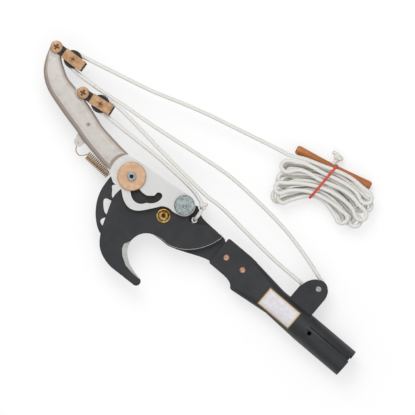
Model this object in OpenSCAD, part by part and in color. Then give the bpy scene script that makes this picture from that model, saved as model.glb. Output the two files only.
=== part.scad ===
// Rope-operated tree pruner head: hook, blade, compound lever, pulley blocks, rope and pole socket.
// Millimetres. Origin at the centre of the socket's mouth, +X out of the mouth, +Z to the front.

/* [Plates] */
// Thickness of the rear plate that is riveted into the socket
tang_t = 5; // [3:0.5:6]
// Thickness of the blade
blade_t = 4; // [2.5:0.5:5]
// Thickness of the front plate with the hook
hook_t = 5; // [3:0.5:7]
// Thickness of the flat part of the lever
lever_t = 6; // [4:0.5:8]
// Free space between the blade and each plate
blade_play = 0.25; // [0.2:0.05:0.6]
// How far the cutting edge shows past the front plate
edge_show = 1.3; // [0.5:0.1:2]
// Width of the ground bevel at the back of the cutting edge
edge_bevel = 6; // [3:0.5:9]

/* [Pivots] */
// Diameter of the lever's stud
stud_d = 9; // [7:0.5:10]
// Outer diameter of the spacer that keeps the plates apart
spacer_d = 12; // [11.5:0.5:13]
// Diameter of the stud's turned head
stud_head_d = 23.5; // [16:0.5:24.5]
// Diameter of the round end of the lever
lever_end_d = 25.6; // [23:0.2:27]
// Wall of the lever's bush
bush_wall = 2; // [1.5:0.25:3]
// Diameter of the blade's bolt
bolt_d = 10; // [8:0.5:11]
// Diameter of the bolt's flanged head
bolt_head_d = 17; // [15:0.5:17.5]
// Radial play of the turning fits
turn_play = 0.05; // [0.02:0.01:0.1]
// Thickness of the washers at the back
washer_t = 2; // [1:0.25:3]
// Height of the nuts at the back
nut_h = 9; // [6:0.5:10]

/* [Drive] */
// Angle that the lever turns through
lever_travel = 125; // [90:1:125]
// Blade degrees per lever degree
blade_ratio = 0.784; // [0.75:0.002:0.8]
// Diameter of the roller in the cam slot
roller_d = 7.6; // [6:0.2:8]
// Free space between the roller and the slot on each side
slot_play = 0.3; // [0.2:0.05:0.6]
// Diameter of the pin that carries the roller
drive_pin_d = 5; // [4:0.25:5.5]
// Diameter of the cover disc
disc_d = 33.5; // [24:0.5:35]
// Thickness of the cover disc
disc_t = 3.5; // [2:0.5:5]

/* [Lever arm] */
// Thickness of the arm
arm_t = 14; // [11:0.5:16]
// Thickness of the tongues that carry the pulley blocks
tongue_t = 9; // [8.5:0.5:10]

/* [Socket] */
// Outer diameter of the socket
socket_d = 35; // [32:0.5:38]
// Wall of the round part
socket_wall = 2; // [1.5:0.25:3]
// Length of the round part
socket_len = 64; // [50:1:66]
// Thickness of the cheeks that hold the rear plate
cheek_t = 2.5; // [1.5:0.25:3]
// Width of the open seam
seam_w = 0.6; // [0.4:0.1:1.5]
// Diameter of the rivets
rivet_d = 5; // [4:0.25:6]
// Diameter of the pole fixing hole
fixing_d = 5; // [3:0.25:6]

/* [Pulleys] */
// Diameter of the pulley wheels
pulley_d = 21.4; // [19:0.2:21.6]
// Width of the pulley wheels
pulley_w = 8; // [6.5:0.25:8]
// Diameter of the pulley axles
axle_d = 5; // [4:0.25:6]
// Thickness of the block housings and face plates
sheet_t = 1.5; // [1:0.1:1.6]
// Width of the blocks
block_w = 11.4; // [9:0.2:12]
// Width of the plate on a block's face
face_w = 12.8; // [11:0.2:13.4]
// Distance from a block's screw to its axle
block_reach = 23.5; // [22:0.25:25]
// Diameter of the block screws
eye_screw_d = 6; // [4:0.25:6.5]

/* [Rope] */
// Diameter of the rope
rope_d = 4.6; // [4:0.1:4.6]
// Loops in the hank
hank_loops = 9; // [8:1:10]
// Length of the toggle
toggle_len = 97; // [80:1:110]
// Diameter of the toggle near its ends
toggle_d = 11; // [9.6:0.2:11.4]
// Thickness of the band round the hank
band_t = 1; // [0.6:0.1:1]

/* [Spring] */
// Outer diameter of the return spring
spring_d = 11; // [8:0.5:11]
// Wire of the return spring
wire_d = 1.2; // [0.8:0.1:1.2]
// Curls of the return spring
curls = 15; // [12:1:20]

/* [Hidden] */
$fn = 64;
eps = 0.01;

// The three pins, read off the photograph in the part's own millimetres
lever_pin = [-262.3, 19.2];
blade_pin = [-273.1, -5.6];
drive_pin_at = [-330.5, 5.4];
rope_hole = [-242.4, 13.6];

// The stack of plates, from the back to the front
tang_z1 = tang_t / 2;
tang_z0 = -tang_z1;
blade_z0 = tang_z1 + blade_play;
blade_z1 = blade_z0 + blade_t;
hook_z0 = blade_z1 + blade_play;
hook_z1 = hook_z0 + hook_t;
lever_z0 = hook_z1 + 0.5;
lever_z1 = lever_z0 + lever_t;
disc_z0 = lever_z1 + 0.3;
disc_z1 = disc_z0 + disc_t;
arm_mid = lever_z0 + 1.5;
arm_z0 = arm_mid - arm_t / 2;
arm_z1 = arm_mid + arm_t / 2;
tongue_z0 = arm_mid - tongue_t / 2;
tongue_z1 = arm_mid + tongue_t / 2;

// The pulley blocks: place of the screw and direction
upper_eye = [-493.8, 63.9];
upper_dir = 3;
lower_eye = [-435.9, 42.9];
lower_dir = 8;
lug_at = [-80.4, 45.1];
rope_seat = 8.3;
ear_gap = 0.4;
ear_z0 = tongue_z1 + ear_gap;
ear_back = tongue_z0 - ear_gap;
face_z0 = ear_z0 + sheet_t + 0.1;
face_z1 = face_z0 + sheet_t;

// The rope
rope_r = rope_d / 2;
floor_z = -socket_d / 2;

function unit(v) = v / norm(v);
function polar(c, r, a) = [c[0] + r * cos(a), c[1] + r * sin(a)];
function turn(p, c, a) = [
    c[0] + cos(a) * (p[0] - c[0]) - sin(a) * (p[1] - c[1]),
    c[1] + sin(a) * (p[0] - c[0]) + cos(a) * (p[1] - c[1])];
function clamp(x, a, b) = min(max(x, a), b);

// A smooth curve through a few points; n steps for each stretch
function knot4(a, b, c, d, t) =
    0.5 * (2 * b + (c - a) * t + (2 * a - 5 * b + 4 * c - d) * t * t + (3 * b - a - 3 * c + d) * t * t * t);
function curve(p, n = 4) = [
    for (i = [0:len(p) - 2])
        for (k = [0:n - 1])
            knot4(p[max(i - 1, 0)], p[i], p[i + 1], p[min(i + 2, len(p) - 1)], k / n),
    p[len(p) - 1]];
function ring_curve(p, n = 4) = [
    for (i = [0:len(p) - 1])
        for (k = [0:n - 1])
            knot4(p[(i + len(p) - 1) % len(p)], p[i], p[(i + 1) % len(p)], p[(i + 2) % len(p)], k / n)];
function arc(c, r, a0, a1, n = 12) = [for (k = [0:n]) polar(c, r, a0 + (a1 - a0) * k / n)];

// A solid skin over rings with equal numbers of points, closed at both ends
module skin(rings) {
    n = len(rings);
    m = len(rings[0]);
    points = [for (r = rings) for (p = r) p];
    sides = [
        for (i = [0:n - 2])
            for (k = [0:m - 1])
                let (a = i * m + k, b = i * m + (k + 1) % m)
                    for (f = [[a, b, b + m], [a, b + m, a + m]]) f];
    first = [for (k = [1:m - 2]) [0, k + 1, k]];
    last = [for (k = [1:m - 2]) [(n - 1) * m, (n - 1) * m + k, (n - 1) * m + k + 1]];
    polyhedron(points = points, faces = concat(sides, first, last), convexity = 6);
}

// A tube along a line of points, with sides that turn no more than the line does
function heading(p, i) = unit(p[min(i + 1, len(p) - 1)] - p[max(i - 1, 0)]);
function square_to(s, t) = unit(s - (s * t) * t);
function any_side(t) = abs(t[2]) < 0.8 ? square_to([0, 0, 1], t) : square_to([1, 0, 0], t);
function side_list(p) = [
    for (i = 0, s = any_side(heading(p, 0)); i < len(p);
        i = i + 1, s = square_to(s, heading(p, min(i, len(p) - 1)))) s];
function tube_rings(p, r, m) =
    let (sides = side_list(p))
        [for (i = [0:len(p) - 1])
            let (t = heading(p, i), s = sides[i], c = cross(t, s))
                [for (k = [0:m - 1]) p[i] + r * (cos(-360 * k / m) * s + sin(-360 * k / m) * c)]];
module tube(p, r, m = 8) {
    skin(tube_rings(p, r, m));
}

// Least distance between the far parts of a line of points
function least_gap(p, skip, d) = min([
    for (i = [0:len(p) - 1 - skip])
        for (j = [i + skip:len(p) - 1])
            norm(p[i] - p[j])]) - d;

// The cutting line, as a distance from the blade's pin for each angle
edge_from = -43.4;
edge_to = 18.6;
function edge_r(a) = 33.1 + 0.45 * (a - edge_from) + 0.0029 * (a - edge_from) * (a - edge_from);

hook_arc = [for (k = [1:10]) polar(blade_pin, edge_r(edge_from + (edge_to - edge_from) * k / 10),
    edge_from + (edge_to - edge_from) * k / 10)];
hook_back = curve([[-331, -14], [-331.5, -27], [-325, -46], [-316, -68], [-304, -83], [-286, -90], [-266, -90],
    [-249, -89.5]]);
hook_tip = arc([-248.2, -84.3], 5.2, -95, 95, 8);
hook_throat = curve([[-249, -79], [-258, -77.2], [-267, -73.7], [-277, -66.5], [-282, -58], [-283, -50], [-280, -40],
    [-272, -32], [-259, -28.3], [-249, -28.5]]);
hook_top = curve([[-206, 20.6], [-225, 18.5], [-238, 11.5], [-245.5, 9], [-250.3, 13.5]]);
hook_under = curve([[-276, 25], [-288, 20], [-303, 11], [-315, -1], [-331, -14]]);

module hook_outline() {
    polygon(concat(hook_back, hook_tip, hook_throat, hook_arc, hook_top,
        arc(lever_pin, 12, 0, 155, 10), hook_under));
}

// Ground bevel on the inner edge of the hook: edge points and where the bevel meets the front face
hook_grind = [
    [[-247, -79], [-247.4, -80]],
    [[-258, -77.2], [-258.6, -79.8]],
    [[-267, -73.7], [-269.5, -78]],
    [[-276, -67.4], [-279.5, -72]],
    [[-281, -60.3], [-285.5, -65.5]],
    [[-283, -52.5], [-287, -60]]];
module hook_bevel() {
    skin([for (g = hook_grind)
        let (out = unit(g[0] - g[1]), e = g[0] + 1.5 * out)
            [[g[1][0], g[1][1], hook_z1 + eps], [e[0], e[1], hook_z0 + 0.8], [e[0], e[1], hook_z1 + eps]]]);
}

module hook_plate() {
    color("#3a3a3c")
    difference() {
        translate([0, 0, hook_z0])
            linear_extrude(hook_t)
                hook_outline();
        hook_bevel();
        pin_hole(lever_pin, stud_d);
        pin_hole(blade_pin, bolt_d);
    }
}

module pin_hole(at, d) {
    translate([at[0], at[1], -50])
        cylinder(h = 120, d = d + 2 * turn_play);
}

tang_top = curve([[-150, 15], [-180, 17], [-197, 17], [-203, 19.8], [-225, 20.5], [-236, 21.5], [-243, 24.5],
    [-250, 28.5]]);
tang_left = curve([[-276, 24], [-288, 8], [-288, -10], [-278, -22], [-262, -25], [-246, -26.8], [-237, -26.2]]);
tang_low = curve([[-237, -26.2], [-224, -20.8], [-210, -14.8], [-199, -11.5], [-180, -10], [-150, -10]]);
module tang_plate() {
    color("#3a3a3c")
    difference() {
        translate([0, 0, tang_z0])
            linear_extrude(tang_t)
                polygon(concat(tang_top, arc(lever_pin, 11.5, 40, 150, 8), tang_left, tang_low));
        pin_hole(lever_pin, stud_d);
        pin_hole(blade_pin, bolt_d);
        pin_hole(rope_hole, rope_d + 2);
        for (at = rivet_places)
            pin_hole(at, rivet_d);
    }
}

rivet_places = [[-185.8, 4.1], [-162.2, 5.2]];
module socket_rivets() {
    head = 1.3;
    out = tang_z1 + cheek_t;
    color("#5a5a5c")
    for (at = rivet_places)
        translate([at[0], at[1], 0])
            rotate_extrude()
                polygon([[0, -out - head], [2.6, -out - head], [3.6, -out - 0.5], [3.6, -out], [rivet_d / 2, -out],
                    [rivet_d / 2, out], [3.6, out], [3.6, out + 0.5], [2.6, out + head], [0, out + head]]);
}

// The socket: a round part, two drawn-out stretches and two flat cheeks
neck_x = -110;
cheek_x = -158;
module disc_x(x, y, r) {
    translate([x, y, 0])
        rotate([0, 90, 0])
            cylinder(h = 0.5, r = r, $fn = 32);
}
module neck_section(less) {
    disc_x(neck_x, -4.5, 11 - less);
    disc_x(neck_x, 6.5, 11 - less);
}
module flat_section(x, r) {
    disc_x(x, -16, r);
    disc_x(x, 18, r);
}
module socket_form(less, end) {
    hull() {
        disc_x(-socket_len - 0.25, 0, socket_d / 2 - less);
        neck_section(less);
    }
    hull() {
        neck_section(less);
        flat_section(end, tang_z1 + cheek_t - less);
    }
}
ear_curve = concat([[-99.4, 14.8]], curve([[-99.4, 34], [-95.5, 45], [-89, 52.5], [-80.5, 55], [-71.5, 51.5],
    [-67.5, 43.5], [-67, 34]]), [[-67, 14.8]]);
cheek_outline = concat([[-155, 22.9], [-165, 23.6], [-196.5, 23.4], [-198, 22], [-198, -12], [-196.5, -13.5]],
    curve([[-176, -13.5], [-169, -14.2], [-163, -16.5], [-159.5, -20.4]]), [[-155, -20.4]]);
lug_z0 = pulley_w / 2 + 0.8;
module pole_socket() {
    color("#3a3a3c")
    difference() {
        union() {
            difference() {
                union() {
                    translate([-socket_len, 0, 0])
                        rotate([0, 90, 0])
                            cylinder(h = socket_len, d = socket_d);
                    socket_form(0, cheek_x);
                }
                socket_form(cheek_t, cheek_x - 0.6);
                translate([-socket_len - 1, 0, 0])
                    rotate([0, 90, 0])
                        cylinder(h = socket_len + 2, d = socket_d - 2 * socket_wall);
            }
            for (z = [tang_z1, -tang_z1 - cheek_t])
                translate([0, 0, z])
                    linear_extrude(cheek_t)
                        polygon(cheek_outline);
            for (z = [lug_z0, -lug_z0 - cheek_t])
                translate([0, 0, z])
                    linear_extrude(cheek_t)
                        polygon(ear_curve);
        }
        for (at = rivet_places)
            pin_hole(at, rivet_d);
        pin_hole(lug_at, axle_d);
        translate([-56, -1, 8])
            cylinder(h = 20, d = fixing_d);
        translate([-socket_len + 4, 5.5 - seam_w / 2, 5])
            cube([socket_len + 1, seam_w, 20]);
        translate([-6.5, 3.5, 5])
            cube([8, 4, 20]);
    }
}

module lug_axle() {
    end = lug_z0 + cheek_t;
    color("#8d8d90")
    translate([lug_at[0], lug_at[1], 0])
        rotate_extrude()
            polygon([[0, -end - 1.2], [2.8, -end - 1.2], [3.6, -end - 0.4], [3.6, -end], [axle_d / 2, -end],
                [axle_d / 2, end], [3.6, end], [3.6, end + 0.4], [2.8, end + 1.2], [0, end + 1.2]]);
}

module wheel(at, z) {
    half = pulley_w / 2;
    out = pulley_d / 2;
    rim = out - rope_seat;
    groove = rope_r + 0.25;
    wide = min(half - 0.6, groove + 0.3);
    color("#2c2c2e")
    translate([at[0], at[1], z])
        rotate_extrude()
            polygon(concat(
                [[axle_d / 2 + turn_play, -half], [6, -half], [6.6, -half + 0.7], [out - 2.6, -half + 0.7],
                    [out - 2, -half], [out - 0.4, -half], [out, -half + 0.4], [out, -wide]],
                [for (k = [1:7]) [rope_seat - groove * sin(180 * k / 8), -groove * cos(180 * k / 8)]],
                [[out, wide], [out, half - 0.4], [out - 0.4, half], [out - 2, half], [out - 2.6, half - 0.7],
                    [6.6, half - 0.7], [6, half], [axle_d / 2 + turn_play, half]]));
}

upper_axle = polar(upper_eye, block_reach, upper_dir);
lower_axle = polar(lower_eye, block_reach, lower_dir);
module upper_pulley() {
    wheel(upper_axle, arm_mid);
}
module lower_pulley() {
    wheel(lower_axle, arm_mid);
}
module lug_pulley() {
    wheel(lug_at, 0);
}

// Lever stud, spacer, washer and nut
module lever_stud() {
    r = stud_d / 2;
    h = stud_head_d / 2;
    z1 = lever_z1 + 0.2;
    low = tang_z0 - washer_t - nut_h - 1;
    color("#9a9a9c")
    difference() {
        translate([lever_pin[0], lever_pin[1], 0])
            rotate_extrude()
                polygon([[0, low], [r - 0.8, low], [r, low + 0.8], [r, z1], [h, z1], [h, z1 + 3],
                    [h - 1, z1 + 4], [0, z1 + 4]]);
        translate([lever_pin[0] + 1.5, lever_pin[1] - 1, z1 + 5.6])
            sphere(d = 6);
    }
}
module lever_spacer() {
    color("#8d8d90")
    translate([lever_pin[0], lever_pin[1], tang_z1])
        difference() {
            cylinder(h = hook_z0 - tang_z1, d = spacer_d);
            translate([0, 0, -1])
                cylinder(h = 20, d = stud_d + 2 * turn_play);
        }
}
module back_washer(at, d, bore) {
    translate([at[0], at[1], tang_z0 - washer_t])
        difference() {
            cylinder(h = washer_t, d = d);
            translate([0, 0, -1])
                cylinder(h = washer_t + 2, d = bore + 2 * turn_play);
        }
}
module back_nut(at, across, bore) {
    translate([at[0], at[1], tang_z0 - washer_t - nut_h])
        difference() {
            intersection() {
                cylinder(h = nut_h, d = across / cos(30), $fn = 6);
                rotate_extrude()
                    polygon([[0, 0], [across / 2 - 0.6, 0], [across / 2 + 1.4, 1.2], [across / 2 + 1.4, nut_h],
                        [0, nut_h]]);
            }
            translate([0, 0, -1])
                cylinder(h = nut_h + 2, d = bore + 2 * turn_play);
        }
}
module lever_washer() {
    color("#8d8d90")
    back_washer(lever_pin, stud_d + 11, stud_d);
}
module lever_nut() {
    color("#8d8d90")
    back_nut(lever_pin, stud_d + 7, stud_d);
}
module blade_washer() {
    color("#8d8d90")
    back_washer(blade_pin, bolt_d + 10, bolt_d);
}
module blade_nut() {
    color("#8d8d90")
    back_nut(blade_pin, bolt_d + 6, bolt_d);
}
module blade_bolt() {
    r = bolt_d / 2;
    h = bolt_head_d / 2;
    low = tang_z0 - washer_t - nut_h - 1;
    color("#c9a24a")
    translate([blade_pin[0], blade_pin[1], 0]) {
        difference() {
            rotate_extrude()
                polygon([[0, low], [r - 0.8, low], [r, low + 0.8], [r, hook_z1], [h, hook_z1], [h, hook_z1 + 0.9],
                    [h - 0.8, hook_z1 + 1.5], [h - 1.8, hook_z1 + 1.7], [h - 2, hook_z1 + 2.6],
                    [h - 2.9, hook_z1 + 4.1], [h - 4.4, hook_z1 + 5], [0, hook_z1 + 5]]);
            translate([0, 0, hook_z1 + 2.6])
                cylinder(h = 5, d = 5.6, $fn = 6);
        }
    }
}

// The blade, in its open place, drawn about its pin
edge_line = [for (k = [0:14]) let (a = edge_from + (edge_to - edge_from) * k / 14)
    polar(blade_pin, edge_r(a) + edge_show, a)];
blade_back = concat([polar(blade_pin, 66, 19.4)], curve([polar(blade_pin, 40, 19), polar(blade_pin, 27, 30),
    polar(blade_pin, 19, 58)]), arc(blade_pin, 19, 66, 176, 12));
tail_top = curve([[-297, -2], [-306, -1], [-314, 6], [-319, 10.5]]);
tail_back = curve([[-341.2, 8], [-346.5, 0], [-349.2, -9], [-349.2, -18], [-347.8, -30], [-343, -43], [-334, -56],
    [-323, -65.5], [-314, -69.5]]);
tail_under = curve([[-314, -69.5], [-302, -60], [-293, -46], [-284.5, -36], [-272, -31.2], [-258.5, -29.2]]);
tail_windows = [
    [[-341, -16.5], [-338.2, -21], [-331.5, -28], [-321.5, -22], [-321.5, -9], [-333, -10.5]],
    [[-336.2, -33], [-337.2, -38], [-327, -47], [-318, -42], [-324, -32]],
    [[-323.8, -51.5], [-325.3, -57.5], [-319, -60], [-312, -55], [-316, -48.5]]];
spring_hole = [-345.6, -9.5];
module blade_outline() {
    difference() {
        polygon(concat(edge_line, blade_back, tail_top, arc(drive_pin_at, 11, 25, 165, 10), tail_back, tail_under));
        for (w = tail_windows)
            polygon(ring_curve(w, 5));
        // Room for the spacer when the blade is shut
        translate(turn(lever_pin, blade_pin, blade_travel))
            circle(d = spacer_d + 1.4, $fn = 48);
    }
}
module blade_grind() {
    skin([for (k = [-1:15])
        let (a = edge_from + (edge_to - edge_from) * k / 14, r = edge_r(a) + edge_show,
            p = polar(blade_pin, r - edge_bevel, a), q = polar(blade_pin, r + 1, a))
            [[p[0], p[1], blade_z0 - eps], [q[0], q[1], blade_z0 - eps], [q[0], q[1], blade_z1 - 0.2]]]);
}
module blade() {
    color("#b9bcc0")
    difference() {
        translate([0, 0, blade_z0])
            linear_extrude(blade_t)
                blade_outline();
        blade_grind();
        pin_hole(blade_pin, bolt_d + 2 * bush_wall);
        pin_hole(drive_pin_at, drive_pin_d);
        pin_hole(spring_hole, wire_d + 2.6);
    }
}
module ring_bush(at, z0, z1, inner, outer) {
    translate([at[0], at[1], z0])
        difference() {
            cylinder(h = z1 - z0, d = outer);
            translate([0, 0, -1])
                cylinder(h = z1 - z0 + 2, d = inner);
        }
}
module blade_bush() {
    color("#b08d4a")
    ring_bush(blade_pin, blade_z0, blade_z1, bolt_d + 2 * turn_play, bolt_d + 2 * bush_wall);
}
module drive_pin() {
    tap = 1.5;
    r = drive_pin_d / 2;
    color("#8d8d90")
    translate([drive_pin_at[0], drive_pin_at[1], 0])
        rotate_extrude()
            polygon([[0, blade_z0], [r, blade_z0], [r, blade_z1], [r + 0.9, blade_z1], [r + 0.9, lever_z0 - 0.6],
                [r, lever_z0 - 0.6], [r, disc_z0], [tap, disc_z0], [tap, disc_z0 - 5], [0, disc_z0 - 5]]);
}
module drive_roller() {
    color("#8d8d90")
    ring_bush(drive_pin_at, lever_z0 - 0.3, lever_z1 + 0.1, drive_pin_d + 2 * turn_play, roller_d);
}
module drive_disc() {
    r = disc_d / 2;
    color("#cba078")
    translate([drive_pin_at[0], drive_pin_at[1], disc_z0])
        rotate_extrude()
            polygon([[1.55, 0], [r, 0], [r, disc_t - 1], [r - 1, disc_t], [1.55, disc_t]]);
}
module drive_screw() {
    color("#2c2c2e")
    translate([drive_pin_at[0], drive_pin_at[1], disc_z1])
        difference() {
            rotate_extrude()
                polygon([[0, -disc_t - 4.5], [1.45, -disc_t - 4.5], [1.45, 0], [5.2, 0], [5.2, 3.6], [4.7, 4.2],
                    [0, 4.2]]);
            translate([0, 0, 1.6])
                cylinder(h = 5, d = 5.4, $fn = 6);
        }
}

// The lever: a flat plate with the cam slot, and the arm as a swept body
blade_travel = lever_travel * blade_ratio;
function cam(a) = turn(turn(drive_pin_at, blade_pin, -blade_ratio * a), lever_pin, a);
cam_steps = 24;
cam_line = [for (k = [0:cam_steps]) cam(lever_travel * k / cam_steps)];
function cam_side(k) = let (t = unit(cam(lever_travel * k / cam_steps + 0.5) - cam(lever_travel * k / cam_steps - 0.5)))
    [-t[1], t[0]];
slot_r = roller_d / 2 + slot_play;
// The slot opens wider than the roller needs at its lower bend
slot_window = ring_curve([[-326, -3], [-320.8, -8.6], [-314.7, -13.2], [-308, -14.6], [-301.8, -12], [-297.4, -6.6],
    [-293, 0.2], [-291.2, 5], [-296, 5], [-303, -0.4], [-309, -1.8], [-316, 0.4], [-322, 1.5]], 3);
module cam_slot() {
    a0 = atan2(cam_side(0)[1], cam_side(0)[0]);
    a1 = atan2(cam_side(cam_steps)[1], cam_side(cam_steps)[0]);
    polygon(concat(
        [for (k = [0:cam_steps]) cam_line[k] + slot_r * cam_side(k)],
        arc(cam_line[cam_steps], slot_r, a1, a1 - 180, 10),
        [for (k = [cam_steps:-1:0]) cam_line[k] - slot_r * cam_side(k)],
        arc(cam_line[0], slot_r, a0 + 180, a0, 10)));
    polygon(slot_window);
}
plate_top = curve([[-366, 18], [-337, 24.2], [-312, 26.2], [-291, 28], [-276, 30.2]]);
plate_low = curve([[-257.8, 7.2], [-266.6, 5], [-274, 5], [-281, 2], [-287, -5.5], [-298.5, -19.5], [-309, -24.4],
    [-320, -21.5], [-330, -13.8]]);
module lever_plate() {
    linear_extrude(lever_t)
        difference() {
            polygon(concat(plate_top, arc(lever_pin, lever_end_d / 2, 105, -68, 16), plate_low,
                [[-342.7, -13.8], [-355, -6.5], [-366, -3]]));
            cam_slot();
        }
}
// Stations of the arm: centre x, y, half width, half thickness as a part of the arm's own
arm_line = [
    [-494.3, 64.5, 6.6, 0.74],
    [-491.5, 57.5, 7.6, 0.76],
    [-486.6, 49.8, 9.6, 0.84],
    [-478.4, 40.8, 12.2, 0.92],
    [-464.8, 32, 13.4, 1],
    [-445, 27, 14.6, 1],
    [-427, 22.5, 14.8, 1],
    [-410, 18, 14.2, 1],
    [-396, 14, 14, 1],
    [-380, 11.3, 14.4, 1],
    [-360, 8.7, 14.7, 1],
    [-338, 7.6, 14.9, 1]];
module arm_body() {
    s = curve(arm_line, 3);
    m = 20;
    skin([for (i = [0:len(s) - 1])
        let (a = s[max(i - 1, 0)], b = s[min(i + 1, len(s) - 1)], t = unit([b[0] - a[0], b[1] - a[1]]),
            h = s[i][3] * arm_t / 2)
            [for (k = [0:m - 1])
                let (c = cos(360 * (k + 0.5) / m), d = sin(360 * (k + 0.5) / m),
                    w = s[i][2] * sign(c) * pow(abs(c), 0.6), z = h * sign(d) * pow(abs(d), 0.6))
                    [s[i][0] + t[1] * w, s[i][1] - t[0] * w, arm_mid + z]]]);
}
spring_lug = [-403.5, -4.5];
module lever_arm() {
    color("#c9c5bd")
    difference() {
        union() {
            difference() {
                arm_body();
                translate([drive_pin_at[0], drive_pin_at[1], arm_z0 - 5])
                    cylinder(h = arm_t + 20, r = 26);
                translate([drive_pin_at[0], drive_pin_at[1], lever_z1])
                    cylinder(h = 5, r1 = 26, r2 = 34);
            }
            translate([0, 0, lever_z0])
                lever_plate();
            translate([upper_eye[0], upper_eye[1], tongue_z0])
                cylinder(h = tongue_t, r = 7);
            translate([lower_eye[0], lower_eye[1], tongue_z0])
                cylinder(h = tongue_t, r = 7.2);
            translate([lower_eye[0] - 4, lower_eye[1] - 7, tongue_z0])
                cylinder(h = tongue_t, r = 8);
            translate([spring_lug[0], spring_lug[1] + 1, arm_z0 + 2])
                cylinder(h = 5, r = 5.6);
            translate([spring_lug[0], spring_lug[1] + 7, arm_z0 + 2])
                cylinder(h = 5, r = 7);
        }
        for (e = [[upper_eye, 12], [lower_eye, 9.5]])
            for (z = [tongue_z1, tongue_z0 - 20])
                translate([e[0][0], e[0][1], z])
                    cylinder(h = 20, r = e[1]);
        pin_hole(lever_pin, stud_d + 2 * bush_wall);
        pin_hole(upper_eye, eye_screw_d);
        pin_hole(lower_eye, eye_screw_d);
        pin_hole(spring_lug, wire_d + 1);
        translate([-408.3, 17.5, arm_z0 + arm_t])
            rotate(-40)
                cube([5.4, 3.4, 1.4], center = true);
    }
}
module lever_bush() {
    color("#b08d4a")
    ring_bush(lever_pin, lever_z0, lever_z1, stud_d + 2 * turn_play, stud_d + 2 * bush_wall);
}
// Cross recess of a screw head
module cross_recess(at, z, across, wide) {
    for (a = [10, 100])
        translate([at[0], at[1], z])
            rotate(a)
                cube([across, wide, 2.2], center = true);
}
module eye_screw(at) {
    r = eye_screw_d / 2;
    z1 = face_z0;
    low = ear_back - sheet_t - 1.6;
    color("#cba078")
    difference() {
        translate([at[0], at[1], 0])
            rotate_extrude()
                polygon([[0, low], [4.2, low], [4.8, low + 0.5], [4.8, low + 1.4], [r, low + 1.4], [r, z1], [7.2, z1],
                    [7.2, z1 + 1.5], [6.8, z1 + 2.1], [5.8, z1 + 2.4], [0, z1 + 2.5]]);
        cross_recess(at, z1 + 2.5, 7.4, 2.1);
    }
}
module upper_block_screw() {
    eye_screw(upper_eye);
}
module lower_block_screw() {
    eye_screw(lower_eye);
}

// A pulley block: folded housing with two ears, face plate and riveted axle
module block_frame(eye, dir) {
    translate([eye[0], eye[1], 0])
        rotate(dir)
            children();
}
block_end = block_reach + 15;
module ear_shape() {
    difference() {
        union() {
            circle(r = 6.4);
            translate([0, -block_w / 2])
                square([block_end + sheet_t, block_w]);
        }
        circle(d = eye_screw_d + 2 * turn_play);
        translate([block_reach, 0])
            circle(d = axle_d);
    }
}
module housing(eye, dir) {
    color("#2c2c2e")
    block_frame(eye, dir) {
        translate([0, 0, ear_z0])
            linear_extrude(sheet_t)
                ear_shape();
        translate([0, 0, ear_back - sheet_t])
            linear_extrude(sheet_t)
                ear_shape();
        translate([block_end, -block_w / 2, ear_back - sheet_t])
            cube([sheet_t, block_w, ear_z0 - ear_back + 2 * sheet_t]);
    }
}
module face_plate(eye, dir) {
    color("#cba078")
    block_frame(eye, dir)
        translate([0, 0, face_z0])
            linear_extrude(sheet_t)
                difference() {
                    translate([11, -face_w / 2])
                        square([block_end - 11.3, face_w]);
                    translate([block_reach, 0])
                        circle(d = axle_d);
                }
}
module block_axle(at) {
    r = axle_d / 2;
    low = ear_back - sheet_t;
    color("#cba078")
    difference() {
        translate([at[0], at[1], 0])
            rotate_extrude()
                polygon([[0, low - 1.2], [2.8, low - 1.2], [3.4, low - 0.5], [3.4, low], [r, low], [r, face_z1],
                    [3.6, face_z1], [3.6, face_z1 + 0.6], [2.9, face_z1 + 1.3], [0, face_z1 + 1.5]]);
        cross_recess(at, face_z1 + 1.6, 5, 1.5);
    }
}
module upper_block_housing() {
    housing(upper_eye, upper_dir);
}
module lower_block_housing() {
    housing(lower_eye, lower_dir);
}
module upper_block_plate() {
    face_plate(upper_eye, upper_dir);
}
module lower_block_plate() {
    face_plate(lower_eye, lower_dir);
}
module upper_block_axle() {
    block_axle(upper_axle);
}
module lower_block_axle() {
    block_axle(lower_axle);
}

// The return spring: one wire from the lug on the arm through all curls to the last curl
coil_from = [-386.5, -9];
coil_to = [-353, -10.5];
coil_z = 1;
coil_r = (spring_d - wire_d) / 2;
coil_along = unit([coil_to[0] - coil_from[0], coil_to[1] - coil_from[1], 0]);
coil_across = [-coil_along[1], coil_along[0], 0];
coil_len = norm(coil_to - coil_from);
function coil_point(t) = [coil_from[0], coil_from[1], coil_z] + coil_along * (coil_len * t / curls)
    + coil_r * (cos(360 * t - 90) * coil_across + [0, 0, sin(360 * t - 90)]);
coil_points = [for (k = [0:8 * curls]) coil_point(k / 8)];
echo(least_gap_of_the_spring = least_gap(coil_points, 6, wire_d));
lug_wire = [[spring_lug[0], spring_lug[1], arm_z0 + 8.6], [spring_lug[0], spring_lug[1], arm_z0 + 4],
    [spring_lug[0], spring_lug[1], arm_z0 - 1], [-403, -7, 2.5], [-400.5, -13, -1.5], [-394, -15.5, -3.6],
    [-389, -11.5, -4]];
module spring_coil() {
    color("#8d8d90")
    tube(concat(curve(lug_wire, 3), coil_points), wire_d / 2, 6);
}
// The moving end of the spring, with its hook in the blade's tail
module spring_hook() {
    color("#8d8d90")
    tube(curve([[coil_to[0] + 0.02, coil_to[1] + 0.25, coil_z - coil_r], [-352.3, -8.9, -3.7], [-350.2, -7.9, -2.4],
        [-347.4, -8.5, 0], [spring_hole[0], spring_hole[1], blade_z0],
        [spring_hole[0], spring_hole[1], blade_z1 + 1.5]], 4),
        wire_d / 2, 6);
}

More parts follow.
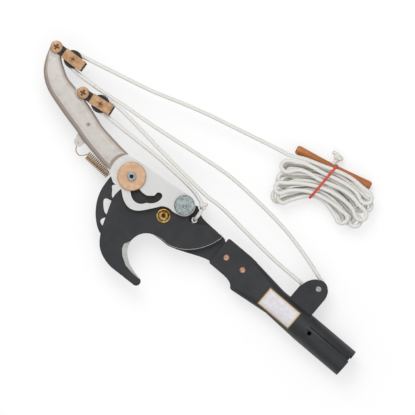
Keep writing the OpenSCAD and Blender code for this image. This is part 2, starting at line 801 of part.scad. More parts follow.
// Rope: the loop and knot at the head, the strands and the wraps on the wheels
knot_at = [-245.4, 33, 5];
knot_r = 5.5;
rope_face = tang_z1 + rope_r + 0.15;
module anchor_knot() {
    color("#e8e6e0")
    translate(knot_at)
        sphere(r = knot_r, $fn = 32);
}
loop_route = [[-244, 28, 5.1], [-242.8, 24.5, rope_face], [-242.4, 19.5, rope_face], [-242.4, 16, rope_face - 0.3],
    [-242.4, 13.7, 2.2], [-242.4, 13.6, 0], [-242.4, 13.7, -2.2], [-242.4, 16, 0.3 - rope_face],
    [-242.6, 20.5, -rope_face], [-243.2, 25.2, -rope_face], [-243.6, 28, -2.6], [-244.2, 29.4, 0.8]];
module anchor_loop() {
    color("#e8e6e0")
    tube(curve(loop_route, 3), rope_r, 8);
}
function wrap(at, z, a0, a1, n) = [for (k = [0:n]) let (p = polar(at, rope_seat, a0 + (a1 - a0) * k / n)) [p[0], p[1], z]];
module wrap_tube(p) {
    color("#e8e6e0")
    tube(p, rope_r, 8);
}
module rope_upper_wrap() {
    wrap_tube(wrap(upper_axle, arm_mid, 102, 268, 18));
}
module rope_lower_wrap() {
    wrap_tube(wrap(lower_axle, arm_mid, 98, 280, 20));
}
module rope_lug_wrap() {
    wrap_tube(wrap(lug_at, 0, 74, -93, 18));
}
// A strand starts and ends a hair from the wraps
strand_gap = 0.5;
function seat(at, z, a) = let (p = polar(at, rope_seat, a)) [p[0], p[1], z];
function step_off(p, a, d) = [p[0] + d * cos(a), p[1] + d * sin(a), p[2]];
tail_route = [
    step_off(seat(upper_axle, arm_mid, 102), 12, strand_gap),
    step_off(seat(upper_axle, arm_mid, 102), 12, 18),
    [-429, 83.2, 13], [-381, 97.5, 10.6], [-345, 108, 8], [-311, 117, 5.2], [-276, 125, 3.6], [-244, 131, 2.4],
    [-217, 136.2, 1.7], [-204, 140.4, 1.4]];
upper_route = [
    step_off(seat(upper_axle, arm_mid, 268), -2, strand_gap),
    step_off(seat(upper_axle, arm_mid, 268), -2, 16),
    [-425, 58.1, 14.2], [-397, 61.6, 14.1], [-342, 67.2, 12], [-276, 75.9, 10], [-238, 79, 8.5], [-191, 76.8, 6.5],
    [-152, 72.5, 4], [-115, 64.2, 1.5],
    step_off(seat(lug_at, 0, 74), 164, 14),
    step_off(seat(lug_at, 0, 74), 164, strand_gap)];
middle_route = [
    step_off(seat(lower_axle, arm_mid, 98), 8, strand_gap),
    step_off(seat(lower_axle, arm_mid, 98), 8, 14),
    [-390, 56.5, 13.7], [-373, 55.2, 13.2], [-327, 50.4, 12], [-282, 46.4, 10], [-249, 44, 8.5], [-228, 45, 7], [-186, 41.4, 4.5],
    [-142, 38, 2],
    step_off(seat(lug_at, 0, -93), 177, 14),
    step_off(seat(lug_at, 0, -93), 177, strand_gap)];
anchor_route = [
    step_off(seat(lower_axle, arm_mid, 280), 10, strand_gap),
    step_off(seat(lower_axle, arm_mid, 280), 10, 12),
    [-360, 41, 12.2], [-321, 42, 9.4], [-284, 40.6, 7.7], [-264, 38.6, 6.7], [-250.9, 34.9, 5.6]];
module rope_tail() {
    wrap_tube(curve(concat(tail_route, [hank_start]), 2));
}
module rope_upper_strand() {
    wrap_tube(curve(upper_route, 2));
}
module rope_middle_strand() {
    wrap_tube(curve(middle_route, 2));
}
module rope_anchor_strand() {
    wrap_tube(curve(anchor_route, 2));
}

// The hank: nested loops, drawn in at the waist, bent along an arc and laid in four layers
bend_at = [-129.3, 60.1];
bend_r = 85;
waist_a = 109;
layer_loops = 2.5;
step_in = 6.4;
step_z = rope_d + 0.45;
hank_z = floor_z + band_t + 0.5 + rope_r;
run_left = 27;
run_right = 33;
function inward(t) = let (c = t % (2 * layer_loops)) min(c, 2 * layer_loops - c);
function layer(t) = let (top = ceil(hank_loops / layer_loops) - 1)
    top - (clamp((t - 2.5) / 0.25, 0, 1) + clamp((t - 5) / 0.25, 0, 1) + clamp((t - 7.5) / 0.25, 0, 1));
function end_w(t) = 22.5 - step_in * inward(t);
function run_w(t, u) = let (k = u < 0 ? u / run_left : u / run_right) end_w(t) - 5.5 * (1 - k * k);
function flat_loop(t) = let (f = t - floor(t), c = f * 4 - floor(f * 4))
    f < 0.25 ? let (u = -run_left + (run_left + run_right) * c) [u, run_w(t, u)] :
    f < 0.5 ? [run_right + end_w(t) * sin(180 * c), end_w(t) * cos(180 * c)] :
    f < 0.75 ? let (u = run_right - (run_left + run_right) * c) [u, -run_w(t, u)] :
    [-run_left - end_w(t) * sin(180 * c), -end_w(t) * cos(180 * c)];
function bent(p, z) = let (a = waist_a - p[0] / bend_r * 180 / PI, q = polar(bend_at, bend_r + p[1], a)) [q[0], q[1], z];
function hank_point(t) = bent(flat_loop(t), hank_z + step_z * layer(t));
hank_start = bent([-run_left - strand_gap, end_w(0)], hank_z + step_z * layer(0));
hank_points = [for (k = [0:24 * hank_loops]) hank_point(k / 24)];
echo(least_gap_of_the_hank = least_gap(hank_points, 4, rope_d));
module rope_hank() {
    color("#e8e6e0")
    tube(hank_points, rope_r, 6);
}

// Toggle, its knot and the band round the hank
toggle_out = 23.3;
toggle_place = polar(bend_at, bend_r + toggle_out, waist_a - 3.75);
toggle_mid = [toggle_place[0], toggle_place[1], floor_z + 5.7];
toggle_dir = 13.4;
toggle_hole = [toggle_mid[0] - 2.9, toggle_mid[1] - 0.7];
module wooden_toggle() {
    half = toggle_len / 2;
    r = toggle_d / 2;
    color("#a5672f")
    difference() {
        translate(toggle_mid)
            rotate([0, 90, toggle_dir])
                rotate_extrude()
                    polygon(concat([[0, -half], [r - 1.5, -half]],
                        curve([[r - 1, -half + 0.5], [r, -half + 4], [r - 0.4, -half + 14], [r - 1.3, 0],
                            [r - 0.4, half - 14], [r, half - 4], [r - 1, half - 0.5]], 3),
                        [[r - 1.5, half], [0, half]]));
        translate([toggle_hole[0], toggle_hole[1], toggle_mid[2]])
            rotate([-90, 0, 0])
                translate([0, 0, -15])
                    cylinder(h = 30, d = rope_d + 0.6);
    }
}
end_start = bent([strand_gap + 0.2 - run_left, end_w(hank_loops)], hank_z);
end_steps = [[-24, -19.9, 0], [-15.5, -19, 0], [-8.3, -16.2, 0], [-2.7, -12.7, 0], [-0.3, -8.3, 0.8]];
end_route = [for (p = end_steps) [toggle_hole[0] + p[0], toggle_hole[1] + p[1], hank_z + p[2]]];
module rope_end() {
    color("#e8e6e0")
    tube(curve(concat([end_start], end_route, [[toggle_hole[0], toggle_hole[1] - 4.5, toggle_mid[2]],
        [toggle_hole[0], toggle_hole[1], toggle_mid[2]], [toggle_hole[0], toggle_hole[1] + 7.2, toggle_mid[2]]]), 3),
        rope_r, 8);
}
module toggle_knot() {
    color("#e8e6e0")
    translate([toggle_hole[0] - 0.4, toggle_hole[1] + 13.2, toggle_mid[2]])
        sphere(r = 5.9, $fn = 32);
}
module band_shape(more) {
    top = hank_z + 3 * step_z;
    hull() {
        translate([-17.2, hank_z])
            circle(r = rope_r + more);
        translate([-17.2, top])
            circle(r = rope_r + more);
        translate([17.2, top])
            circle(r = rope_r + more);
        translate([26, toggle_mid[2]])
            circle(r = 5 + more);
        translate([26, hank_z + 2])
            circle(r = rope_r + 2 + more);
    }
}
module hank_band() {
    color("#c8322b")
    translate([bend_at[0], bend_at[1], 0])
        rotate(waist_a)
            translate([bend_r, 0, 0])
                rotate([90, 0, -16])
                    translate([0, 0, 2])
                        linear_extrude(3.4)
                            difference() {
                                band_shape(0.6 + band_t);
                                band_shape(0.6);
                            }
}

hook_plate();
tang_plate();
pole_socket();
socket_rivets();
lever_stud();
lever_spacer();
lever_washer();
lever_nut();
blade_bolt();
blade_washer();
blade_nut();
lug_axle();
lug_pulley();
blade();
blade_bush();
drive_pin();
drive_roller();
drive_disc();
drive_screw();
lever_arm();
lever_bush();
upper_block_screw();
lower_block_screw();
spring_coil();
spring_hook();
upper_block_housing();
upper_block_plate();
upper_block_axle();
upper_pulley();
lower_block_housing();
lower_block_plate();
lower_block_axle();
lower_pulley();
anchor_loop();
anchor_knot();
rope_anchor_strand();
rope_lower_wrap();
rope_middle_strand();
rope_lug_wrap();
rope_upper_strand();
rope_upper_wrap();
rope_tail();
rope_hank();
rope_end();
toggle_knot();
wooden_toggle();
hank_band();
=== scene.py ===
import math

import bpy
from mathutils import Euler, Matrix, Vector, geometry


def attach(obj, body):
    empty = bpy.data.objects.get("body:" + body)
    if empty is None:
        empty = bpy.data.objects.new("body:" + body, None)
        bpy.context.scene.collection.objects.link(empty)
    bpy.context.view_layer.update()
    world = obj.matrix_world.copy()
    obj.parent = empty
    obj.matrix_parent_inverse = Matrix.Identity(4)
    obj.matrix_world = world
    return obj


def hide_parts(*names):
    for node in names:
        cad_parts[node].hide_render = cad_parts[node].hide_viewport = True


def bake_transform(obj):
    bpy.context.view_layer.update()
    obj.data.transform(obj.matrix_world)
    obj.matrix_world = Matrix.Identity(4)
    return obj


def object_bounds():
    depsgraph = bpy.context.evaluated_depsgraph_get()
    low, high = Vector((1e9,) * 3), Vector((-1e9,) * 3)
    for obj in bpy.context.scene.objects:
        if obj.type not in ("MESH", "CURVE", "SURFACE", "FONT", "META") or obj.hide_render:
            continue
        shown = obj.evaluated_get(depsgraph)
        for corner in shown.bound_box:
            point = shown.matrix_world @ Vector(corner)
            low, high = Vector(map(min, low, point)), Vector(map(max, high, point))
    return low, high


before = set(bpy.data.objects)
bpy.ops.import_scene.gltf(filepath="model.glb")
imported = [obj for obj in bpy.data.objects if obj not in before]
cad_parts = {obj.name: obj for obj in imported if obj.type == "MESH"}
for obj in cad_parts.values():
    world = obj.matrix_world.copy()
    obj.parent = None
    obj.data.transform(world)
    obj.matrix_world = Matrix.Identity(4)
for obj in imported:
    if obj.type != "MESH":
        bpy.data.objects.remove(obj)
cad_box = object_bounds()

# ---------------------------------------------------------------------------------------------------------------
# The studio: a pale matt table under a large soft ceiling, looked at straight down with a long lens, as a tool is
# laid out and photographed for a catalogue. The table shows white to the camera and keeps the tool's shadow.
scene = bpy.context.scene
scene.view_settings.view_transform = "Standard"


def linear(code):
    """An sRGB hex colour as the linear colour that a socket takes."""
    parts = [int(code[i:i + 2], 16) / 255 for i in (1, 3, 5)]
    return tuple(c / 12.92 if c <= 0.04045 else ((c + 0.055) / 1.055) ** 2.4 for c in parts) + (1.0,)


def put(tree, kind, inputs=None, stops=(), **settings):
    """Adds a node with its settings; an input is a value, or an output to link from; stops are a ramp's colours.
    A MapRange has its inputs by number: the value, its lower and upper end, and what these two become."""
    made = tree.nodes.new("ShaderNode" + kind)
    for _ in stops[2:]:
        made.color_ramp.elements.new(0.5)
    for k, (place, code) in enumerate(stops):
        made.color_ramp.elements[k].position, made.color_ramp.elements[k].color = place, linear(code)
    for name, value in settings.items():
        setattr(made, name, value)
    for name, value in (inputs or {}).items():
        if isinstance(value, bpy.types.NodeSocket):
            tree.links.new(value, made.inputs[name])
        else:
            made.inputs[name].default_value = value
    return made


tool_middle, gap_below = Vector((-0.24, 0.03, 0)), 0.0002
bpy.ops.object.select_all(action="DESELECT")
bpy.ops.mesh.primitive_plane_add(size=40, location=(tool_middle.x, tool_middle.y, cad_box[0][2] - gap_below))
table = bpy.context.object
table.name = "table_top"
table_paint = bpy.data.materials.new("white_matt_laminate")
table_paint.use_nodes = True
tree = table_paint.node_tree
shader = tree.nodes["Principled BSDF"]
shader.inputs["Base Color"].default_value = linear("#b0b0b0")
shader.inputs["Roughness"].default_value = 0.9
shader.inputs["Specular IOR Level"].default_value = 0.1
ray = put(tree, "LightPath").outputs
seen = put(tree, "Math", {0: ray["Is Camera Ray"], 1: ray["Is Glossy Ray"]}, operation="ADD")
seen = put(tree, "Math", {0: seen.outputs[0], 1: ray["Is Transmission Ray"]}, operation="ADD", use_clamp=True)
lift = put(tree, "Math", {0: seen.outputs[0], 1: 0.6}, operation="MULTIPLY")
glow = put(tree, "Emission", {"Color": (1, 1, 1, 1), "Strength": lift.outputs[0]})
both = put(tree, "AddShader", {0: shader.outputs[0], 1: glow.outputs[0]})
tree.links.new(both.outputs[0], tree.nodes["Material Output"].inputs["Surface"])
table.data.materials.append(table_paint)

# The ceiling is brighter overhead than at the walls, so that rounded edges fall off to a darker tone
sky = bpy.data.worlds.new("studio_ceiling")
scene.world = sky
sky.use_nodes = True
tree = sky.node_tree
tree.nodes.clear()
height = put(tree, "SeparateXYZ", {0: put(tree, "TexCoord").outputs["Generated"]})
fade = put(tree, "MapRange", {0: height.outputs["Z"], 1: 0.0, 2: 0.9, 3: 0.2, 4: 0.78})
light = put(tree, "MixRGB", {0: put(tree, "LightPath").outputs["Is Camera Ray"], 1: fade.outputs[0], 2: (1, 1, 1, 1)})
ceiling = put(tree, "Background", {"Color": light.outputs[0], "Strength": 1.0})
put(tree, "OutputWorld", {"Surface": ceiling.outputs[0]})

for name, place, size, watts in (
    ("key_softbox", (-0.95, 0.55, 1.25), 0.9, 8.5),
    ("fill_softbox", (0.75, -0.75, 1.3), 1.2, 3.8),
):
    lamp = bpy.data.lights.new(name, "AREA")
    lamp.size = size
    lamp.energy = watts
    lamp_stand = bpy.data.objects.new(name, lamp)
    lamp_stand.location = place
    lamp_stand.rotation_euler = (tool_middle - Vector(place)).to_track_quat("-Z", "Y").to_euler()
    scene.collection.objects.link(lamp_stand)

# The camera hangs 5 m up, sees 0.48 m across, and is turned so that the tool lies slanting in the picture
camera_height, view_width = 5.0, 0.4826
lens = bpy.data.cameras.new("overhead")
lens.lens = lens.sensor_width * camera_height / view_width
camera = bpy.data.objects.new("overhead", lens)
camera.location = (-0.2402, 0.0345, camera_height)
camera.rotation_euler = (0, 0, math.atan2(0.645, 0.764))
scene.collection.objects.link(camera)
scene.camera = camera

# ---------------------------------------------------------------------------------------------------------------
# Rear plate and pole socket: a cut steel tang that carries the pivots, held between the cheeks of a socket that is
# rolled from sheet with an open seam. Both are powder coated black, which rounds their edges a little.


def new_finish(name):
    """A new node material: itself, its tree, its shader and the piece's own coordinates in metres."""
    made = bpy.data.materials.new(name)
    made.use_nodes = True
    nodes = made.node_tree
    return made, nodes, nodes.nodes["Principled BSDF"], put(nodes, "TexCoord").outputs["Object"]


# Corners that lie closer than this are one corner, and edges that turn by more than this are eased
weld_gap, sharp = 0.000004, math.radians(35)


def dress(node, finish, edge=0.0003):
    """Gives a CAD node a finish, and eases its edges by a bevel of that many metres."""
    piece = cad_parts[node]
    piece.data.materials.clear()
    piece.data.materials.append(finish)
    if edge:
        weld = piece.modifiers.new("weld", "WELD")
        weld.merge_threshold = weld_gap
        ease = piece.modifiers.new("eased_edge", "BEVEL")
        ease.width = edge
        ease.segments = 2
        ease.limit_method = "ANGLE"
        ease.angle_limit = sharp
        ease.harden_normals = True


def new_coat(name):
    """A new finish with the powder coat's grain, cloud and gloss: as new_finish gives it, and the coat's colour."""
    made, nodes, coated, place = new_finish(name)
    peel = put(nodes, "TexNoise", {"Vector": place, "Scale": 1 / 0.0009, "Detail": 3.0, "Roughness": 0.6})
    cloud = put(nodes, "TexNoise", {"Vector": place, "Scale": 1 / 0.018, "Detail": 5.0, "Roughness": 0.6})
    colour = put(nodes, "ValToRGB", {"Fac": cloud.outputs["Fac"]}, stops=((0.3, "#28292b"), (0.72, "#343538")))
    satin = put(nodes, "MapRange", {0: peel.outputs["Fac"], 1: 0.3, 2: 0.7, 3: 0.4, 4: 0.56})
    nodes.links.new(satin.outputs[0], coated.inputs["Roughness"])
    grain = put(nodes, "Bump", {"Height": peel.outputs["Fac"], "Strength": 0.4, "Distance": 0.00012})
    nodes.links.new(grain.outputs[0], coated.inputs["Normal"])
    coated.inputs["Specular IOR Level"].default_value = 0.35
    return made, nodes, coated, place, colour.outputs["Color"]


# Polyester powder coat on steel: a dark satin grey with an orange-peel grain. The real grain is about 0.5 mm, and
# is drawn near 0.9 mm so that it shows; the coat is cloudy where it lies thicker, and lightly scuffed in places.
powder_coat, tree, shader, where, tone = new_coat("black_powder_coat")
drawn = put(tree, "Mapping", {"Vector": where, "Rotation": (0, 0, 0.5), "Scale": (40, 900, 300)})
scuff = put(tree, "TexNoise", {"Vector": drawn.outputs[0], "Scale": 1.0, "Detail": 2.0})
worn = put(tree, "MapRange", {0: scuff.outputs["Fac"], 1: 0.66, 2: 0.76, 3: 0.0, 4: 0.35})
tone = put(tree, "MixRGB", {0: worn.outputs[0], 1: tone, 2: linear("#4a4b4e")})
tree.links.new(tone.outputs[0], shader.inputs["Base Color"])
dress("tang_plate", powder_coat, 0.0004)
dress("pole_socket", powder_coat, 0.0003)

# Two rivets close the socket's cheeks on the tang. They are of soft copper-coloured steel, headed cold, so that
# their faces are a little uneven and bright.
rivet_metal, tree, shader, where = new_finish("copper_washed_rivet_steel")
blow = put(tree, "TexNoise", {"Vector": where, "Scale": 1 / 0.0018, "Detail": 3.0})
tone = put(tree, "ValToRGB", {"Fac": blow.outputs["Fac"]}, stops=((0.35, "#a8785a"), (0.68, "#dcb59a")))
tree.links.new(tone.outputs["Color"], shader.inputs["Base Color"])
rise = put(tree, "Bump", {"Height": blow.outputs["Fac"], "Strength": 0.5, "Distance": 0.0004})
tree.links.new(rise.outputs[0], shader.inputs["Normal"])
shader.inputs["Metallic"].default_value = 0.8
shader.inputs["Roughness"].default_value = 0.38
dress("socket_rivets", rivet_metal, 0.0002)

# A plain paper tag is glued on the socket's neck. Nothing is printed on it but a dull gold rim: a white field that
# has yellowed towards its edges.
tag_left, tag_right, tag_low, tag_high = -0.1247, -0.0778, -0.0133, 0.0109
bpy.ops.object.select_all(action="DESELECT")
bpy.ops.mesh.primitive_grid_add(x_subdivisions=48, y_subdivisions=26, size=1, location=(0, 0, 0.05))
tag = bpy.context.object
tag.name = "blank_tag"
bpy.ops.transform.resize(value=(tag_right - tag_left, tag_high - tag_low, 1))
bpy.ops.transform.translate(value=((tag_left + tag_right) / 2, (tag_low + tag_high) / 2, 0))
bpy.ops.object.transform_apply(location=True, rotation=True, scale=True)
lay_down = tag.modifiers.new("lay_down", "SHRINKWRAP")
lay_down.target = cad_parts["pole_socket"]
lay_down.wrap_method = "PROJECT"
lay_down.use_project_z = True
lay_down.use_negative_direction = True
lay_down.use_positive_direction = False
lay_down.offset = 0.0002
bpy.ops.object.modifier_apply(modifier="lay_down")
paper = tag.modifiers.new("paper", "SOLIDIFY")
paper.thickness = 0.00012
paper.offset = 1
bpy.ops.object.modifier_apply(modifier="paper")
bpy.ops.object.shade_smooth_by_angle(angle=math.radians(40))
# Coated paper: white with a faint cool cast, cream at the margins, with a low gloss from its laminate
tag_paper, tree, shader, where = new_finish("laminated_label_paper")
sheet = put(tree, "SeparateXYZ", {0: put(tree, "TexCoord").outputs["UV"]})
rims, margins = [], []
for axis, margin_from, rim_from in (("X", 0.40, 0.475), ("Y", 0.34, 0.452)):
    off = put(tree, "Math", {0: sheet.outputs[axis], 1: 0.5}, operation="SUBTRACT")
    off = put(tree, "Math", {0: off.outputs[0]}, operation="ABSOLUTE").outputs[0]
    rims.append(put(tree, "Math", {0: off, 1: rim_from}, operation="GREATER_THAN").outputs[0])
    margins.append(put(tree, "MapRange", {0: off, 1: margin_from, 2: rim_from, 3: 0.0, 4: 0.8}).outputs[0])
rim = put(tree, "Math", {0: rims[0], 1: rims[1]}, operation="MAXIMUM")
margin = put(tree, "Math", {0: margins[0], 1: margins[1]}, operation="MAXIMUM")
ground = put(tree, "TexNoise", {"Vector": where, "Scale": 1 / 0.004, "Detail": 4.0})
tone = put(tree, "ValToRGB", {"Fac": ground.outputs["Fac"]}, stops=((0.3, "#d9d6dc"), (0.7, "#ece9ee")))
tone = put(tree, "MixRGB", {0: margin.outputs[0], 1: tone.outputs["Color"], 2: linear("#d8c6a4")})
tone = put(tree, "MixRGB", {0: rim.outputs[0], 1: tone.outputs[0], 2: linear("#8a6f35")})
tree.links.new(tone.outputs[0], shader.inputs["Base Color"])
shader.inputs["Roughness"].default_value = 0.42
rise = put(tree, "Bump", {"Height": ground.outputs["Fac"], "Strength": 0.15, "Distance": 0.0002})
tree.links.new(rise.outputs[0], shader.inputs["Normal"])
tag.data.materials.append(tag_paper)
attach(tag, "frame")

# ---------------------------------------------------------------------------------------------------------------
# Hook plate: the front plate, cut from the same coated steel, with a long curved hook that holds the branch. The
# hook's inner edge and the counter edge that meets the blade are ground bare after coating.

# The same powder coat, broken by bare ground steel wherever the plate's edge slopes on the cutting side: a bright
# crescent in the hook and a thin bright line along the counter edge, with grinding marks about 0.4 mm apart. The
# cutting side lies below a slanting line, right of the hook's back and above its end.
line_slope, line_height, hook_back, hook_end = 0.35, 0.094, -0.2905, -0.0815
hook_coat, tree, shader, where, tone = new_coat("black_powder_coat_ground_edge")
grit = put(tree, "TexNoise", {"Vector": where, "Scale": 1 / 0.0004, "Detail": 2.0})
steel = put(tree, "ValToRGB", {"Fac": grit.outputs["Fac"]}, stops=((0.3, "#b9b8b5"), (0.7, "#e4e3df")))
slope = put(tree, "SeparateXYZ", {0: put(tree, "NewGeometry").outputs["Normal"]})
facing = put(tree, "Math", {0: slope.outputs["Z"]}, operation="ABSOLUTE")
sloped = put(tree, "Math", {0: facing.outputs[0], 1: 0.6, 2: 0.36}, operation="COMPARE")
place = put(tree, "SeparateXYZ", {0: where})
cutting = put(tree, "Math", {0: place.outputs["X"], 1: line_slope}, operation="MULTIPLY")
cutting = put(tree, "Math", {0: place.outputs["Y"], 1: cutting.outputs[0]}, operation="SUBTRACT")
cutting = put(tree, "Math", {0: cutting.outputs[0], 1: line_height}, operation="LESS_THAN")
inside = put(tree, "Math", {0: place.outputs["X"], 1: hook_back}, operation="GREATER_THAN")
above = put(tree, "Math", {0: place.outputs["Y"], 1: hook_end}, operation="GREATER_THAN")
bare = sloped
for limit in (cutting, inside, above):
    bare = put(tree, "Math", {0: bare.outputs[0], 1: limit.outputs[0]}, operation="MULTIPLY")
skin = put(tree, "MixRGB", {0: bare.outputs[0], 1: tone, 2: steel.outputs["Color"]})
tree.links.new(skin.outputs[0], shader.inputs["Base Color"])
gleam = put(tree, "Math", {0: bare.outputs[0], 1: 0.35}, operation="MULTIPLY")
tree.links.new(gleam.outputs[0], shader.inputs["Metallic"])

# The plate is drawn anew from its solid's mesh, to ease it edge by edge: the counter edge in full, the other edges
# barely, and the hook's tip not at all, where the ground crescent meets the outline in a point too narrow to ease.
# The hook lies below hook_below, and the counter edge from counter_from on.
hook = bpy.data.objects.new("ground_hook_plate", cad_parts["hook_plate"].data.copy())
scene.collection.objects.link(hook)
hook.data.materials.clear()
hook.data.materials.append(hook_coat)
bpy.ops.object.select_all(action="DESELECT")
hook.select_set(True)
bpy.context.view_layer.objects.active = hook
hook.modifiers.new("weld", "WELD").merge_threshold = weld_gap
bpy.ops.object.modifier_apply(modifier="weld")
beside = {}
for face in hook.data.polygons:
    for key in face.edge_keys:
        beside.setdefault(key, []).append(face.normal.copy())
share = hook.data.attributes.new("bevel_weight_edge", "FLOAT", "EDGE")
hook_tip, tip_reach = Vector((-0.2474, -0.0799, 0.0113)), 0.006
holes, hole_reach = (Vector((-0.2731, -0.0056)), Vector((-0.2623, 0.0192))), 0.014
hook_below, counter_from, counter_run, least = -0.040, -0.272, 0.012, 0.15
for line in hook.data.edges:
    ends = [hook.data.vertices[v].co for v in line.vertices]
    sides = beside.get(line.key, [])
    if len(sides) != 2 or sides[0].angle(sides[1]) < sharp:
        continue
    at = (ends[0] + ends[1]) / 2
    if (at - hook_tip).length < tip_reach:
        continue
    in_hole = any((at.xy - hole).length < hole_reach for hole in holes)
    full = 0.0 if in_hole or at.y < hook_below else min(max((at.x - counter_from) / counter_run, 0.0), 1.0)
    share.data[line.index].value = least + (1 - least) * full
ease = hook.modifiers.new("eased_edge", "BEVEL")
ease.width = 0.0007
ease.segments = 2
ease.limit_method = "WEIGHT"
ease.harden_normals = True
ease.use_clamp_overlap = False
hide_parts("hook_plate")
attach(hook, "frame")

# ---------------------------------------------------------------------------------------------------------------
# Blade: a hardened steel cutter that swings between the two plates, blackened all over, with a long curved tail
# that reaches out past the hook plate to the spring. It turns on a bronze bush.

# Blackened hardened steel: darker and tighter than the powder coat, with a faint lengthwise rolling grain near 1 mm
blade_steel, tree, shader, where = new_finish("blackened_hardened_steel")
rolled = put(tree, "Mapping", {"Vector": where, "Rotation": (0, 0, 0.9), "Scale": (120, 1000, 300)})
grain = put(tree, "TexNoise", {"Vector": rolled.outputs[0], "Scale": 1.0, "Detail": 4.0})
tone = put(tree, "ValToRGB", {"Fac": grain.outputs["Fac"]}, stops=((0.3, "#29292b"), (0.7, "#38383b")))
tree.links.new(tone.outputs["Color"], shader.inputs["Base Color"])
matt = put(tree, "MapRange", {0: grain.outputs["Fac"], 1: 0.3, 2: 0.7, 3: 0.38, 4: 0.52})
tree.links.new(matt.outputs[0], shader.inputs["Roughness"])
rise = put(tree, "Bump", {"Height": grain.outputs["Fac"], "Strength": 0.25, "Distance": 0.0001})
tree.links.new(rise.outputs[0], shader.inputs["Normal"])
shader.inputs["Metallic"].default_value = 0.25
dress("blade", blade_steel, 0.0003)

# Cast bronze: warm yellow brown with fine turning lines
bronze, tree, shader, where = new_finish("turned_bronze")
turned = put(tree, "TexNoise", {"Vector": where, "Scale": 1 / 0.0008, "Detail": 3.0})
tone = put(tree, "ValToRGB", {"Fac": turned.outputs["Fac"]}, stops=((0.3, "#94733a"), (0.7, "#c2a05c")))
tree.links.new(tone.outputs["Color"], shader.inputs["Base Color"])
shader.inputs["Metallic"].default_value = 1.0
shader.inputs["Roughness"].default_value = 0.35
dress("blade_bush", bronze, 0)
dress("lever_bush", bronze, 0)

# ---------------------------------------------------------------------------------------------------------------
# Lever pivot: a turned stud with a wide flat head, spacer, washer and lock nut at the back, all zinc plated.
# The lug's axle and the drive's pin, roller and cap screw have the same plating.

# Bright zinc plate: a cool blue grey, cloudy at about 3 mm from the bath, over lathe marks about 0.5 mm apart.
# The floor of the cap screw's socket is painted dark blue grey, as painted shade in the recess.
cap_floor = 0.0239
zinc, tree, shader, where = new_finish("bright_zinc_plate")
bath = put(tree, "TexNoise", {"Vector": where, "Scale": 1 / 0.003, "Detail": 4.0, "Distortion": 0.6})
lathe = put(tree, "TexNoise", {"Vector": where, "Scale": 1 / 0.0005, "Detail": 2.0})
tone = put(tree, "ValToRGB", {"Fac": bath.outputs["Fac"]},
           stops=((0.3, "#7d8787"), (0.5, "#9fa9aa"), (0.72, "#bcc4c5"))).outputs["Color"]
# Painted shade: the floor of the cap screw's socket, at the height cap_floor, is painted dark blue grey
floor_shade_mask = put(tree, "SeparateXYZ", {0: where})
floor_shade_mask = put(tree, "Math", {0: floor_shade_mask.outputs["Z"], 1: cap_floor, 2: 0.0001}, operation="COMPARE")
tone = put(tree, "MixRGB", {0: floor_shade_mask.outputs[0], 1: tone, 2: linear("#2b2d33")})
tree.links.new(tone.outputs[0], shader.inputs["Base Color"])
gloss = put(tree, "MapRange", {0: bath.outputs["Fac"], 1: 0.3, 2: 0.7, 3: 0.3, 4: 0.48})
tree.links.new(gloss.outputs[0], shader.inputs["Roughness"])
rise = put(tree, "Bump", {"Height": lathe.outputs["Fac"], "Strength": 0.2, "Distance": 0.0001})
tree.links.new(rise.outputs[0], shader.inputs["Normal"])
shader.inputs["Metallic"].default_value = 0.85
for node in ("lever_stud", "lever_washer", "lever_nut", "blade_washer", "lug_axle", "drive_screw"):
    dress(node, zinc, 0.0002)
for node in ("lever_spacer", "drive_pin", "drive_roller"):
    dress(node, zinc, 0)

# Blade bolt: a flanged socket-head bolt that the blade turns on, with its nut at the back, in yellow chromate.
# The chromate goes from straw to copper and pale gold over a few millimetres; the socket's floor is painted dark brown
# as painted shade.
bolt_floor = 0.0146
chromate, tree, shader, where = new_finish("yellow_chromate_plate")
sheen = put(tree, "TexNoise", {"Vector": where, "Scale": 1 / 0.006, "Detail": 3.0, "Distortion": 1.2})
tone = put(tree, "ValToRGB", {"Fac": sheen.outputs["Fac"]},
           stops=((0.3, "#8f6a35"), (0.45, "#b48c4a"), (0.6, "#d3b36e"), (0.75, "#b98d5c"))).outputs["Color"]
# Painted shade: the floor of the bolt's socket, at the height bolt_floor, is painted dark brown
floor_shade_mask = put(tree, "SeparateXYZ", {0: where})
floor_shade_mask = put(tree, "Math", {0: floor_shade_mask.outputs["Z"], 1: bolt_floor, 2: 0.00005}, operation="COMPARE")
tone = put(tree, "MixRGB", {0: floor_shade_mask.outputs[0], 1: tone, 2: linear("#4a2f17")})
tree.links.new(tone.outputs[0], shader.inputs["Base Color"])
shader.inputs["Metallic"].default_value = 0.9
shader.inputs["Roughness"].default_value = 0.27
dress("blade_bolt", chromate, 0.0003)
dress("blade_nut", chromate, 0.0003)

# ---------------------------------------------------------------------------------------------------------------
# Drive: a pin on the blade carries a roller in the lever's slot, under a broad cover disc held by a cap screw. The
# disc, the pulley blocks' face plates and their screws are turned or punched steel in a tan chromate.

# Tan chromate over turned steel: a pale peach tan, brushed by the tool at about 0.6 mm, a little darker in the
# hollows, with a soft satin sheen; the floors of the screws' cross recesses are painted dark brown as painted shade.
eye_floor, axle_floor, floor_gap = 0.0219, 0.0225, 0.00006
tan, tree, shader, where = new_finish("tan_chromate_plate")
brushed = put(tree, "Mapping", {"Vector": where, "Rotation": (0, 0, -0.1), "Scale": (160, 1600, 400)})
tool = put(tree, "TexNoise", {"Vector": brushed.outputs[0], "Scale": 1.0, "Detail": 3.0})
mottle = put(tree, "TexNoise", {"Vector": where, "Scale": 1 / 0.004, "Detail": 4.0})
tone = put(tree, "ValToRGB", {"Fac": mottle.outputs["Fac"]},
           stops=((0.3, "#a97f5a"), (0.52, "#bd936b"), (0.75, "#cfac8b"))).outputs["Color"]
brush = put(tree, "MapRange", {0: tool.outputs["Fac"], 1: 0.3, 2: 0.7, 3: 0.82, 4: 1.06})
